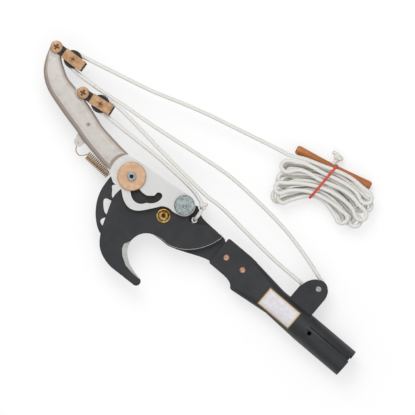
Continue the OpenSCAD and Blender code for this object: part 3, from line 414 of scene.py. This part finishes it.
tone = put(tree, "MixRGB", {0: 1.0, 1: tone, 2: brush.outputs[0]}, blend_type="MULTIPLY").outputs[0]
floor_shade_mask = put(tree, "SeparateXYZ", {0: where})
# Painted shade: the floors of the eye screws' and axles' cross recesses are painted dark brown
in_eye = put(tree, "Math", {0: floor_shade_mask.outputs["Z"], 1: eye_floor, 2: floor_gap}, operation="COMPARE")
in_axle = put(tree, "Math", {0: floor_shade_mask.outputs["Z"], 1: axle_floor, 2: floor_gap}, operation="COMPARE")
painted_recess_shade = put(tree, "Math", {0: in_eye.outputs[0], 1: in_axle.outputs[0]}, operation="ADD")
tone = put(tree, "MixRGB", {0: painted_recess_shade.outputs[0], 1: tone, 2: linear("#5c4028")})
tree.links.new(tone.outputs[0], shader.inputs["Base Color"])
rise = put(tree, "Bump", {"Height": tool.outputs["Fac"], "Strength": 0.3, "Distance": 0.0001})
tree.links.new(rise.outputs[0], shader.inputs["Normal"])
shader.inputs["Metallic"].default_value = 0.4
shader.inputs["Roughness"].default_value = 0.4
for node in ("upper_block_plate", "lower_block_plate", "upper_block_screw", "lower_block_screw",
             "upper_block_axle", "lower_block_axle"):
    dress(node, tan, 0.0002)

# The disc is paler, and its tool marks run in rings about 0.9 mm apart round its screw. At a scale of 1, a wave
# texture repeats every 0.314 m.
disc_x, disc_y, ring_pitch = -0.3305, 0.0054, 0.0009
disc_tan, tree, shader, where = new_finish("tan_chromate_turned_disc")
centred = put(tree, "Mapping", {"Vector": where, "Location": (-disc_x, -disc_y, 0)})
rings = put(tree, "TexWave", {"Vector": centred.outputs[0], "Scale": 0.314 / ring_pitch, "Distortion": 0.6,
                              "Detail": 1.0}, wave_type="RINGS", rings_direction="Z")
mottle = put(tree, "TexNoise", {"Vector": where, "Scale": 1 / 0.006, "Detail": 4.0})
tone = put(tree, "ValToRGB", {"Fac": mottle.outputs["Fac"]},
           stops=((0.3, "#c99f7c"), (0.55, "#d6b18f"), (0.75, "#dfc0a2"))).outputs["Color"]
turned = put(tree, "MapRange", {0: rings.outputs["Fac"], 1: 0.0, 2: 1.0, 3: 0.94, 4: 1.02})
tone = put(tree, "MixRGB", {0: 1.0, 1: tone, 2: turned.outputs[0]}, blend_type="MULTIPLY")
tree.links.new(tone.outputs[0], shader.inputs["Base Color"])
rise = put(tree, "Bump", {"Height": rings.outputs["Fac"], "Strength": 0.12, "Distance": 0.0001})
tree.links.new(rise.outputs[0], shader.inputs["Normal"])
shader.inputs["Metallic"].default_value = 0.5
shader.inputs["Roughness"].default_value = 0.42
dress("drive_disc", disc_tan, 0.0003)

# ---------------------------------------------------------------------------------------------------------------
# Lever: one aluminium forging, a curved arm of rounded section that runs into a flat milled plate with the cam slot.
# The arm keeps its tumbled forging skin, painted darker and warmer on its flanks as painted shade, most on its outer
# flank, and painted dark round a small forging mark as painted shade in its recess; the plate is milled bright.
forging_mark, plate_top, plate_from = (-0.4076, 0.019, 0.0212), 0.0187, -0.37
lever_metal, tree, shader, where = new_finish("tumbled_forged_aluminium")
slope = put(tree, "SeparateXYZ", {0: put(tree, "NewGeometry").outputs["Normal"]})
place = put(tree, "SeparateXYZ", {0: where})
skin = put(tree, "TexNoise", {"Vector": where, "Scale": 1 / 0.009, "Detail": 5.0, "Roughness": 0.6})
pits = put(tree, "TexNoise", {"Vector": where, "Scale": 1 / 0.0012, "Detail": 3.0})
# Painted shade: the skin's colour follows how far its face turns up, pale on top and dark warm brown on the flanks,
# with a little random tone
lean = put(tree, "Math", {0: slope.outputs["Z"], 1: 0.8}, operation="MULTIPLY")
lean = put(tree, "Math", {0: skin.outputs["Fac"], 1: 0.2, 2: lean.outputs[0]}, operation="MULTIPLY_ADD")
forged_tone_and_shade = put(tree, "ValToRGB", {"Fac": lean.outputs[0]},
             stops=((0.3, "#8d7f76"), (0.62, "#a3948a"), (0.8, "#b5a79c"), (0.9, "#cbc6c0"),
                    (1.0, "#d2cec8"))).outputs["Color"]
# Painted shade: faces that turn towards -Y, the arm's outer flank, are painted darker still
shade = put(tree, "MapRange", {0: slope.outputs["Y"], 1: -0.1, 2: -0.24, 3: 0.0, 4: 0.75})
forged_tone_and_shade = put(tree, "MixRGB", {0: shade.outputs[0], 1: forged_tone_and_shade, 2: linear("#9c8d84")}).outputs[0]
# Painted shade: a dark patch painted round the forging mark, standing in for the shade in its recess
mark_shade = put(tree, "VectorMath", {0: where, 1: forging_mark}, operation="DISTANCE")
mark_shade = put(tree, "MapRange", {0: mark_shade.outputs["Value"], 1: 0.0016, 2: 0.0027, 3: 0.8, 4: 0.0})
forged_tone_and_shade = put(tree, "MixRGB", {0: mark_shade.outputs[0], 1: forged_tone_and_shade, 2: linear("#7f7973")}).outputs[0]
low = put(tree, "Math", {0: place.outputs["Z"], 1: plate_top}, operation="LESS_THAN")
flat = put(tree, "Math", {0: slope.outputs["Z"], 1: 0.9}, operation="GREATER_THAN")
near = put(tree, "Math", {0: place.outputs["X"], 1: plate_from}, operation="GREATER_THAN")
milled = put(tree, "Math", {0: low.outputs[0], 1: flat.outputs[0]}, operation="MULTIPLY")
milled = put(tree, "Math", {0: milled.outputs[0], 1: near.outputs[0]}, operation="MULTIPLY")
mill = put(tree, "Mapping", {"Vector": where, "Rotation": (0, 0, 0.25), "Scale": (90, 1300, 300)})
mill = put(tree, "TexNoise", {"Vector": mill.outputs[0], "Scale": 1.0, "Detail": 3.0})
bright = put(tree, "ValToRGB", {"Fac": mill.outputs["Fac"]}, stops=((0.3, "#d2d2d0"), (0.7, "#dddddb")))
tone = put(tree, "MixRGB", {0: milled.outputs[0], 1: forged_tone_and_shade, 2: bright.outputs["Color"]})
tree.links.new(tone.outputs[0], shader.inputs["Base Color"])
dull = put(tree, "MapRange", {0: milled.outputs[0], 1: 0.0, 2: 1.0, 3: 0.5, 4: 0.4})
tree.links.new(dull.outputs[0], shader.inputs["Roughness"])
rise = put(tree, "Bump", {"Height": pits.outputs["Fac"], "Strength": 0.2, "Distance": 0.00015})
tree.links.new(rise.outputs[0], shader.inputs["Normal"])
shader.inputs["Metallic"].default_value = 0.25
dress("lever_arm", lever_metal, 0.0004)

# ---------------------------------------------------------------------------------------------------------------
# Pulley blocks: a black housing folded from sheet, a tan face plate and a grooved nylon wheel on a screw axle.
# A third wheel runs between the socket's lug ears.

# Black oxide on folded sheet: nearly black, oily, with a faint brown cloud
oxide, tree, shader, where = new_finish("black_oxide_sheet")
oil = put(tree, "TexNoise", {"Vector": where, "Scale": 1 / 0.005, "Detail": 4.0})
tone = put(tree, "ValToRGB", {"Fac": oil.outputs["Fac"]}, stops=((0.3, "#242324"), (0.75, "#36332f")))
tree.links.new(tone.outputs["Color"], shader.inputs["Base Color"])
wet = put(tree, "MapRange", {0: oil.outputs["Fac"], 1: 0.3, 2: 0.7, 3: 0.32, 4: 0.5})
tree.links.new(wet.outputs[0], shader.inputs["Roughness"])
shader.inputs["Metallic"].default_value = 0.4
dress("upper_block_housing", oxide, 0.0003)
dress("lower_block_housing", oxide, 0.0003)

# Moulded black nylon: an even dark grey with a dry, slightly mottled face
nylon, tree, shader, where = new_finish("moulded_black_nylon")
mould = put(tree, "TexNoise", {"Vector": where, "Scale": 1 / 0.0015, "Detail": 3.0})
tone = put(tree, "ValToRGB", {"Fac": mould.outputs["Fac"]}, stops=((0.3, "#232325"), (0.7, "#333336")))
tree.links.new(tone.outputs["Color"], shader.inputs["Base Color"])
rise = put(tree, "Bump", {"Height": mould.outputs["Fac"], "Strength": 0.2, "Distance": 0.0001})
tree.links.new(rise.outputs[0], shader.inputs["Normal"])
shader.inputs["Roughness"].default_value = 0.5
for node in ("upper_pulley", "lower_pulley", "lug_pulley"):
    dress(node, nylon, 0)

# ---------------------------------------------------------------------------------------------------------------
# Return spring: one drawn wire, wound close, hooked into the lever's lug at one end and into the blade's tail at the
# other. It stretches as the lever swings, so the coil lies between the lever and its own far end.


def smooth(points, n=8):
    """A smooth line through points, with n steps between each two."""
    line = []
    for i in range(len(points) - 1):
        a, b, c, d = (Vector(points[min(max(j, 0), len(points) - 1)]) for j in (i - 1, i, i + 1, i + 2))
        for k in range(n):
            t = k / n
            line.append(0.5 * (2 * b + (c - a) * t + (2 * a - 5 * b + 4 * c - d) * t ** 2
                               + (3 * b - a - 3 * c + d) * t ** 3))
    return line + [Vector(points[-1])]


def tube(name, line, radius, sides, finish, girth):
    """A closed tube along a line, its ends a little domed, mapped in metres: girth once round, and the way along."""
    points, reach, faces, places = [], [], [], []
    ahead = (line[1] - line[0]).normalized()
    side = ahead.orthogonal().normalized()
    for i, p in enumerate(line):
        turned = (line[min(i + 1, len(line) - 1)] - line[max(i - 1, 0)]).normalized()
        side = ahead.rotation_difference(turned) @ side
        ahead = turned
        side = (side - ahead * side.dot(ahead)).normalized()
        up = ahead.cross(side)
        reach.append(reach[-1] + (p - line[i - 1]).length if i else 0.0)
        for k in range(sides):
            a = 2 * math.pi * k / sides
            points.append(p + radius * (math.cos(a) * side + math.sin(a) * up))
    for i in range(len(line) - 1):
        for k in range(sides):
            n = (k + 1) % sides
            faces.append((i * sides + k, i * sides + n, (i + 1) * sides + n, (i + 1) * sides + k))
            u, v = girth * k / sides, girth * (k + 1) / sides
            places += [(u, reach[i]), (v, reach[i]), (v, reach[i + 1]), (u, reach[i + 1])]
    first, last = line[0] - line[1], line[-1] - line[-2]
    for ring, way in ((0, first), (len(line) - 1, last)):
        tip = len(points)
        points.append(line[ring] + 0.35 * radius * way.normalized())
        for k in range(sides):
            n = (k + 1) % sides
            faces.append((ring * sides + k, ring * sides + n, tip) if ring else (n, k, tip))
            places += [(0, reach[ring]), (radius, reach[ring]), (radius / 2, reach[ring] + radius)]
    mesh = bpy.data.meshes.new(name)
    mesh.from_pydata(points, [], faces)
    spread = mesh.uv_layers.new(name="lay")
    for corner, place in zip(spread.data, places):
        corner.uv = place
    for face in mesh.polygons:
        face.use_smooth = True
    mesh.materials.append(finish)
    made = bpy.data.objects.new(name, mesh)
    scene.collection.objects.link(made)
    return made


# Oil-drawn spring wire: a warm tan steel, faintly streaked by the die
spring_wire, tree, shader, where = new_finish("oil_drawn_spring_wire")
streak = put(tree, "TexNoise", {"Vector": where, "Scale": 1 / 0.002, "Detail": 3.0})
tone = put(tree, "ValToRGB", {"Fac": streak.outputs["Fac"]}, stops=((0.3, "#a58c70"), (0.7, "#d3b896")))
tree.links.new(tone.outputs["Color"], shader.inputs["Base Color"])
shader.inputs["Metallic"].default_value = 0.85
shader.inputs["Roughness"].default_value = 0.34

mm = 0.001
curls, steps, coil_r, wire_r, wire_sides, wire_girth = 15, 24, 4.9, 0.6, 8, 0.0038
coil_from, coil_to = Vector((-386.5, -9, 1)), Vector((-353, -10.5, 1))
coil_along = (coil_to - coil_from).normalized()
coil_across = Vector((-coil_along.y, coil_along.x, 0))
wire = smooth([(-403.5, -4.5, 15.6), (-403.5, -4.5, 11), (-403.5, -4.5, 6), (-403, -7, 2.5), (-400.5, -13, -1.5),
               (-394, -15.5, -3.6), (-389, -11.5, -4)])
for k in range(1, curls * steps + 1):
    curl = 2 * math.pi * k / steps - math.pi / 2
    wire.append(coil_from.lerp(coil_to, k / (curls * steps))
                + coil_r * (math.cos(curl) * coil_across + math.sin(curl) * Vector((0, 0, 1))))
coil = tube("return_spring", [p * mm for p in wire], wire_r * mm, wire_sides, spring_wire, wire_girth)
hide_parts("spring_coil")
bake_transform(coil)
dress("spring_hook", spring_wire, 0)

# ---------------------------------------------------------------------------------------------------------------
# Rope over the wheels: one length of white braided polyester, tied to the rear plate by a loop and a knot. It goes
# round the lower block's wheel, the lug's wheel and the upper block's wheel, so that four strands draw on the lever.

# Braided polyester: off-white yarns that cross in diamonds, painted grey in the hollows between them as painted shade,
# dry and a little fuzzy, faintly yellowed in places. The diamonds are 2.4 mm across, twice the real ones, so that six
# go round the rope and show.
# Across its slant a yarn is 1.7 mm wide.
yarn_pitch = 0.0017029
rope_white, tree, shader, where = new_finish("white_braided_polyester")
lay = put(tree, "TexCoord").outputs["UV"]
yarns = []
for slant in (45, -45):
    leant = put(tree, "Mapping", {"Vector": lay, "Rotation": (0, 0, math.radians(slant))})
    leant = put(tree, "TexWave", {"Vector": leant.outputs[0], "Scale": 0.314159 / yarn_pitch}, bands_direction="X")
    yarns.append(leant.outputs["Fac"])
yarn_height_and_shade = put(tree, "Math", {0: yarns[0], 1: yarns[1]}, operation="MULTIPLY")
fuzz = put(tree, "TexNoise", {"Vector": where, "Scale": 1 / 0.0007, "Detail": 3.0})
worn = put(tree, "TexNoise", {"Vector": where, "Scale": 1 / 0.022, "Detail": 3.0})
# Painted shade: the hollows between the yarns are painted grey, the crowns near white
tone = put(tree, "ValToRGB", {"Fac": yarn_height_and_shade.outputs[0]},
           stops=((0.0, "#e0ded7"), (0.35, "#f8f7f3"), (1.0, "#ffffff"))).outputs["Color"]
stain = put(tree, "MapRange", {0: worn.outputs["Fac"], 1: 0.45, 2: 0.75, 3: 0.0, 4: 0.4})
tone = put(tree, "MixRGB", {0: stain.outputs[0], 1: tone, 2: linear("#efeadd")})
tree.links.new(tone.outputs[0], shader.inputs["Base Color"])
weave = put(tree, "Math", {0: fuzz.outputs["Fac"], 1: 0.3}, operation="MULTIPLY")
weave = put(tree, "Math", {0: yarn_height_and_shade.outputs[0], 1: weave.outputs[0]}, operation="ADD")
rise = put(tree, "Bump", {"Height": weave.outputs[0], "Strength": 0.7, "Distance": 0.0003})
tree.links.new(rise.outputs[0], shader.inputs["Normal"])
shader.inputs["Roughness"].default_value = 0.85
shader.inputs["Sheen Weight"].default_value = 0.25
shader.inputs["Specular IOR Level"].default_value = 0.25

rope_r, rope_sides, rope_step, rope_on_wheel = 2.3, 14, 1.2, 8.3
rope_girth = 2 * math.pi * rope_r * mm


def rope(name, line):
    """A rope along a line in millimetres, with its own path in metres, in even steps, smoothed eight times over."""
    reach = [0.0]
    for a, b in zip(line, line[1:]):
        reach.append(reach[-1] + (b - a).length)
    count = round(reach[-1] / rope_step)
    path, j = [], 0
    for k in range(count + 1):
        far = reach[-1] * k / count
        while j < len(line) - 2 and reach[j + 1] < far:
            j += 1
        path.append(line[j].lerp(line[j + 1], (far - reach[j]) / max(reach[j + 1] - reach[j], 1e-9)))
    for _ in range(8):
        path = path[:1] + [(a + 2 * b + c) / 4 for a, b, c in zip(path, path[1:], path[2:])] + path[-1:]
    path = [p * mm for p in path]
    made = tube(name, path, rope_r * mm, rope_sides, rope_white, rope_girth)
    return made, path, sum((b - a).length for a, b in zip(path, path[1:]))


def off_wheel(axle, angle, way=0.0, far=0.0):
    """Where the rope's middle lies on a wheel, or that far along a straight lead from there."""
    a, w = math.radians(angle), math.radians(way)
    on_wheel = axle + rope_on_wheel * Vector((math.cos(a), math.sin(a), 0))
    return on_wheel + far * Vector((math.cos(w), math.sin(w), 0))


def round_wheel(axle, first, last, steps=24):
    """The rope's middle round a wheel, from one angle to the other, without its two ends."""
    return [off_wheel(axle, first + (last - first) * k / steps) for k in range(1, steps)]


def cut(line, x):
    """The two parts of a strand, parted where it passes x."""
    i = max(k for k, p in enumerate(line) if p.x <= x)
    at = line[i].lerp(line[i + 1], (x - line[i].x) / (line[i + 1].x - line[i].x))
    return line[:i + 1] + [at], [at] + line[i + 1:]


# Where the rope meets and leaves each wheel, in degrees round it
upper_axle, upper_on, upper_off = Vector((-470.332, 65.13, 14)), 102, 268
lower_axle, lower_on, lower_off = Vector((-412.629, 46.171, 14)), 98, 280
lug, lug_on, lug_off = Vector((-80.4, 45.1, 0)), 74, -93
tail = smooth([off_wheel(upper_axle, upper_on), off_wheel(upper_axle, upper_on, 12, 18),
               (-429, 83.2, 13), (-379, 95.6, 10.6), (-344, 107, 8), (-311, 117, 5.2), (-276.5, 125.6, 3.6),
               (-246, 133.2, 2.4), (-220, 139.4, 1.7), (-205.5, 142.4, 1.4)])
upper_strand = smooth([off_wheel(upper_axle, upper_off), off_wheel(upper_axle, upper_off, -2, 16),
                       (-425, 58.1, 14.2), (-397, 61.6, 14.1), (-342, 67.2, 12), (-276, 75.9, 10), (-238, 79, 8.5),
                       (-191, 76.8, 6.5), (-152, 72.5, 4), (-115, 64.2, 1.5),
                       off_wheel(lug, lug_on, 164, 14), off_wheel(lug, lug_on)])
middle_strand = smooth([off_wheel(lower_axle, lower_on), off_wheel(lower_axle, lower_on, 8, 14),
                        (-390, 56.5, 13.7), (-373, 55.2, 13.2), (-327, 50.4, 12), (-282, 46.4, 10), (-249, 44, 8.5),
                        (-228, 45, 7), (-186, 41.4, 4.5), (-142, 38, 2),
                        off_wheel(lug, lug_off, 177, 14), off_wheel(lug, lug_off)])
anchor_strand = smooth([off_wheel(lower_axle, lower_off), off_wheel(lower_axle, lower_off, 10, 12),
                        (-360, 41, 12.2), (-321, 42, 9.4), (-284, 40.6, 7.7), (-264, 38.6, 6.7), (-250.9, 34.9, 5.6),
                        (-246.5, 33.2, 5.1)])
upper_leads_to, lower_leads_to = -431, -374
tail_lead, tail = cut(tail, upper_leads_to)
upper_lead, upper_strand = cut(upper_strand, upper_leads_to)
middle_lead, middle_strand = cut(middle_strand, lower_leads_to)
anchor_lead, anchor_strand = cut(anchor_strand, lower_leads_to)

# The turn over each block's wheel is drawn in one piece with its two leads, which bend from the block to the lever
turn = round_wheel(upper_axle, upper_on, upper_off)
upper_turn, _, _ = rope("rope_upper_turn", tail_lead[::-1] + turn + upper_lead)
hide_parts("rope_upper_wrap")
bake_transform(upper_turn)
turn = round_wheel(lower_axle, lower_on, lower_off)
lower_turn, _, _ = rope("rope_lower_turn", middle_lead[::-1] + turn + anchor_lead)
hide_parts("rope_lower_wrap")
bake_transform(lower_turn)

# The strand over the lug's wheel runs from the upper block to the lower one
turn = round_wheel(lug, lug_on, lug_off)
over_lug, path, length = rope("rope_over_lug", upper_strand + turn + middle_strand[::-1])
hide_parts("rope_upper_strand", "rope_lug_wrap", "rope_middle_strand")
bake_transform(over_lug)


def overhand_knot(name, middle, size, thick, turn, steps=72):
    """An overhand knot drawn tight: three crossings close round a point, inside a ball of that radius."""
    line = []
    for k in range(steps + 1):
        t = 2 * math.pi * k / steps
        p = Vector((math.sin(t) + 2 * math.sin(2 * t), math.cos(t) - 2 * math.cos(2 * t), -1.3 * math.sin(3 * t)))
        p.rotate(Euler(turn))
        line.append((Vector(middle) + p * (size - thick) / 3) * mm)
    made = tube(name, line, thick * mm, rope_sides, rope_white, rope_girth)
    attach(made, "frame")
    return made


# The loop goes through the rear plate's hole, and both its legs end in the knot
anchor_loop, _, _ = rope("rope_anchor_loop", smooth([
    (-244, 28, 5.1), (-242.8, 24.5, 4.95), (-242.4, 19.5, 4.95), (-242.4, 16, 4.65), (-242.4, 13.7, 2.2),
    (-242.4, 13.6, 0), (-242.4, 13.7, -2.2), (-242.4, 16, -4.65), (-242.6, 20.5, -4.95), (-243.2, 25.2, -4.95),
    (-243.6, 28, -2.6), (-244.2, 29.4, 0.8)]))
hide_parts("anchor_loop")
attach(anchor_loop, "frame")
anchor_knot = overhand_knot("rope_anchor_knot", (-245.4, 33, 5), 5.6, 1.95, (0.5, 0.4, 0.6))
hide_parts("anchor_knot")
to_anchor, path, length = rope("rope_to_anchor", anchor_strand)
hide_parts("rope_anchor_strand")
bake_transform(to_anchor)

# ---------------------------------------------------------------------------------------------------------------
# Toggle: a turned beech handle, waisted at the middle, drilled across for the rope's end and dipped in varnish. It
# lies beside the hank and is held to it by the band.

# Varnished beech: orange brown, with straight grain about 1.2 mm apart along the handle, darker pores, and a clear
# glossy coat
wood, tree, shader, where = new_finish("varnished_beech")
along = put(tree, "Mapping", {"Vector": where, "Rotation": (0, 0, math.radians(-13.4))})
grain = put(tree, "Mapping", {"Vector": along.outputs[0], "Scale": (30, 820, 820)})
grain = put(tree, "TexNoise", {"Vector": grain.outputs[0], "Scale": 1.0, "Detail": 5.0, "Distortion": 0.4})
pores = put(tree, "Mapping", {"Vector": along.outputs[0], "Scale": (250, 2600, 2600)})
pores = put(tree, "TexNoise", {"Vector": pores.outputs[0], "Scale": 1.0, "Detail": 2.0})
tone = put(tree, "ValToRGB", {"Fac": grain.outputs["Fac"]},
           stops=((0.28, "#8f4d20"), (0.5, "#bb7037"), (0.72, "#d68d48"))).outputs["Color"]
pit = put(tree, "MapRange", {0: pores.outputs["Fac"], 1: 0.62, 2: 0.75, 3: 0.0, 4: 0.5})
tone = put(tree, "MixRGB", {0: pit.outputs[0], 1: tone, 2: linear("#6e3a16")})
tree.links.new(tone.outputs[0], shader.inputs["Base Color"])
rise = put(tree, "Bump", {"Height": grain.outputs["Fac"], "Strength": 0.15, "Distance": 0.0002})
tree.links.new(rise.outputs[0], shader.inputs["Normal"])
shader.inputs["Roughness"].default_value = 0.4
shader.inputs["Coat Weight"].default_value = 0.35
shader.inputs["Coat Roughness"].default_value = 0.2
dress("wooden_toggle", wood, 0)

# ---------------------------------------------------------------------------------------------------------------
# Hank: the rope's tail, folded to and fro nine times, drawn in at the waist and laid down in four layers whose
# folds fan apart at both ends. Its last end goes through the toggle and is stopped by a knot.
bend_at, bend_r, waist = Vector((-129.3, 60.1, 0)), 85, math.radians(109)


def bent(u, w, z):
    """A place on the hank: u along it from the waist, w across it."""
    a = waist - u / bend_r
    return bend_at + (bend_r + w) * Vector((math.cos(a), math.sin(a), 0)) + Vector((0, 0, z))


# Each pass over the waist, in the rope's order: its layer from the table up, and where it crosses the waist
passes = ((3, 20.5), (3, 12.2), (3, 4.4), (3, -4.4), (3, -13.2), (2, -15), (2, -8.8), (2, 0), (2, 8.8), (2, 17.6),
          (1, 14), (1, 5), (1, -4), (1, -13), (0, -14), (0, -7.5), (0, -1), (0, 5.5), (0, 15.5))
# The folds at the right and at the left, each between two passes: how far out it lies, and its middle
right_folds = ((53, 19.6), (65, 3.5), (57, -17), (69, -6), (59, 14.4), (56, 9), (62, -10), (60, -11), (52, 5))
left_folds = ((45, 15.2), (57, -8.6), (57, -20), (50, 2), (43, 13.5), (52, -1), (64, -17), (47, -7), (42, 10.7))
# A fold's radius, half the distance of its two strands before it opens, and the way over which it opens
fold_r, half_gap, flare = 6.9, 4.4, 10
out_steps, flare_steps, fold_steps = 12, 4, 12
lowest, layer_step, wander = -13.7, 5.05, 0.6


def leg(k, mate, fold, way):
    """Half of pass k, from the waist out to where it turns into a fold, opening wider over its last stretch."""
    layer, across = passes[k]
    run, middle = fold[0] - fold_r - flare, fold[1]
    lean = math.copysign(1, across - passes[mate][1])
    line = []
    for j in range(out_steps + flare_steps + 1):
        far, wide = min(j / out_steps, 1), max(j - out_steps, 0) / flare_steps
        u = run * far + flare * wide
        w = across + (middle + lean * half_gap - across) * far * far * (3 - 2 * far)
        w += lean * (fold_r - half_gap) * wide * wide * (3 - 2 * wide)
        w += wander * (1 - far * far) * math.sin(2.3 * k + 0.09 * way * u)
        line.append(bent(way * u, w, lowest + layer_step * layer))
    return line


# The tail's way in, and then pass after pass, each with its fold
hank = [bent(-21, 24, 1.45)]
for k in range(len(passes) - 1):
    way = -1 if k % 2 else 1
    if k:
        hank += leg(k, k - 1, (left_folds, right_folds)[k % 2][(k - 1) // 2], -way)[:0:-1]
    reach, middle = (right_folds, left_folds)[k % 2][k // 2]
    hank += leg(k, k + 1, (reach, middle), way)
    lean = math.copysign(1, passes[k][1] - passes[k + 1][1])
    for j in range(1, fold_steps):
        turn, halves = math.pi * j / fold_steps, 2 * j / fold_steps
        # A fold that goes down a layer does so on its outer side
        down = min(halves, 1) if lean * middle > 0 else max(halves - 1, 0)
        layer = passes[k][0] + (passes[k + 1][0] - passes[k][0]) * down
        hank.append(bent(way * (reach - fold_r + fold_r * math.sin(turn)), middle + lean * fold_r * math.cos(turn),
                         lowest + layer_step * layer))
hole = Vector((-160.69, 163.89, -11.8))
to_hole = [hole + Vector(p) for p in ((-24, -19.9, -1.9), (-15.5, -19, -1.9), (-8.3, -16.2, -1.9), (-2.7, -12.7, -1.9),
                                      (-0.3, -8.3, -1.1), (0, -4.5, 0), (0, 0, 0), (0, 7.2, 0), (0, 11, 0))]
# Each join is smoothed with the point before it, which takes the first eight steps and isn't drawn again
into_hank = smooth([tail[-2], tail[-1], hank[0], hank[1]])[9:16]
out_of_hank = smooth([hank[-2], hank[-1]] + to_hole)[9:]
tail_rope, path, length = rope("rope_tail_and_hank", tail + into_hank + hank + out_of_hank)
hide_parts("rope_tail", "rope_hank", "rope_end")
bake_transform(tail_rope)
stop_knot = overhand_knot("rope_stop_knot", hole + Vector((-0.4, 13.2, 0)), 6.0, 2.1, (1.2, 0.3, 0.2))
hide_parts("toggle_knot")
knot_end, _, _ = rope("rope_cut_end", smooth([hole + Vector(p) for p in (
    (-2.5, 15, 0.5), (-4.6, 15.6, 1.0), (-6.8, 15.4, 1.0), (-9.2, 14.4, 0.6))]))
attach(knot_end, "frame")

# Band: a red rubber band, stretched over the hank's waist and the toggle, so that it pulls into a thin flat strip
# that lies on the outermost strands.
band_wide, band_thick, band_x, near_band, hank_from = 2.8, 0.9, -156.5, 1.6, 0.11
held = [(Vector((p.y, p.z)) / mm, rope_r) for p in path
        if abs(p.x / mm - band_x) < near_band and p.y > hank_from]
toggle_waist, toggle_r, slack, steps = Vector((164.9, -11.8)), 4.5, 0.1, 32
held.append((toggle_waist, toggle_r))
skin = [p + (r + slack) * Vector((math.cos(a), math.sin(a))) for p, r in held
        for a in (2 * math.pi * k / steps for k in range(steps))]
ring = [skin[k] for k in geometry.convex_hull_2d(skin)]
bpy.ops.object.select_all(action="DESELECT")
bpy.ops.mesh.primitive_circle_add(vertices=len(ring), radius=0.02)
band = bpy.context.object
band.name = "rubber_band"
for corner, p in zip(band.data.vertices, ring):
    corner.co = Vector((band_x - band_wide / 2, p.x, p.y)) * mm
bpy.ops.object.mode_set(mode="EDIT")
bpy.ops.mesh.select_all(action="SELECT")
bpy.ops.mesh.extrude_region_move(TRANSFORM_OT_translate={"value": (band_wide * mm, 0, 0)})
bpy.ops.mesh.select_all(action="SELECT")
bpy.ops.mesh.normals_make_consistent(inside=False)
bpy.ops.object.mode_set(mode="OBJECT")
wall = band.modifiers.new("wall", "SOLIDIFY")
wall.thickness = band_thick * mm
wall.offset = 1
bpy.ops.object.modifier_apply(modifier="wall")
ease = band.modifiers.new("ease", "BEVEL")
ease.width = 0.25 * mm
ease.segments = 2
bpy.ops.object.modifier_apply(modifier="ease")
bpy.ops.object.shade_smooth_by_angle(angle=math.radians(40))
# Stretched rubber: a warm red with a dull gloss, paler in streaks where it is pulled thin
rubber, tree, shader, where = new_finish("stretched_red_rubber")
pull = put(tree, "TexNoise", {"Vector": where, "Scale": 1 / 0.003, "Detail": 3.0})
tone = put(tree, "ValToRGB", {"Fac": pull.outputs["Fac"]}, stops=((0.3, "#c4321f"), (0.7, "#e5523a")))
tree.links.new(tone.outputs["Color"], shader.inputs["Base Color"])
rise = put(tree, "Bump", {"Height": pull.outputs["Fac"], "Strength": 0.2, "Distance": 0.0002})
tree.links.new(rise.outputs[0], shader.inputs["Normal"])
shader.inputs["Roughness"].default_value = 0.45
band.data.materials.append(rubber)
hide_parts("hank_band")
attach(band, "frame")
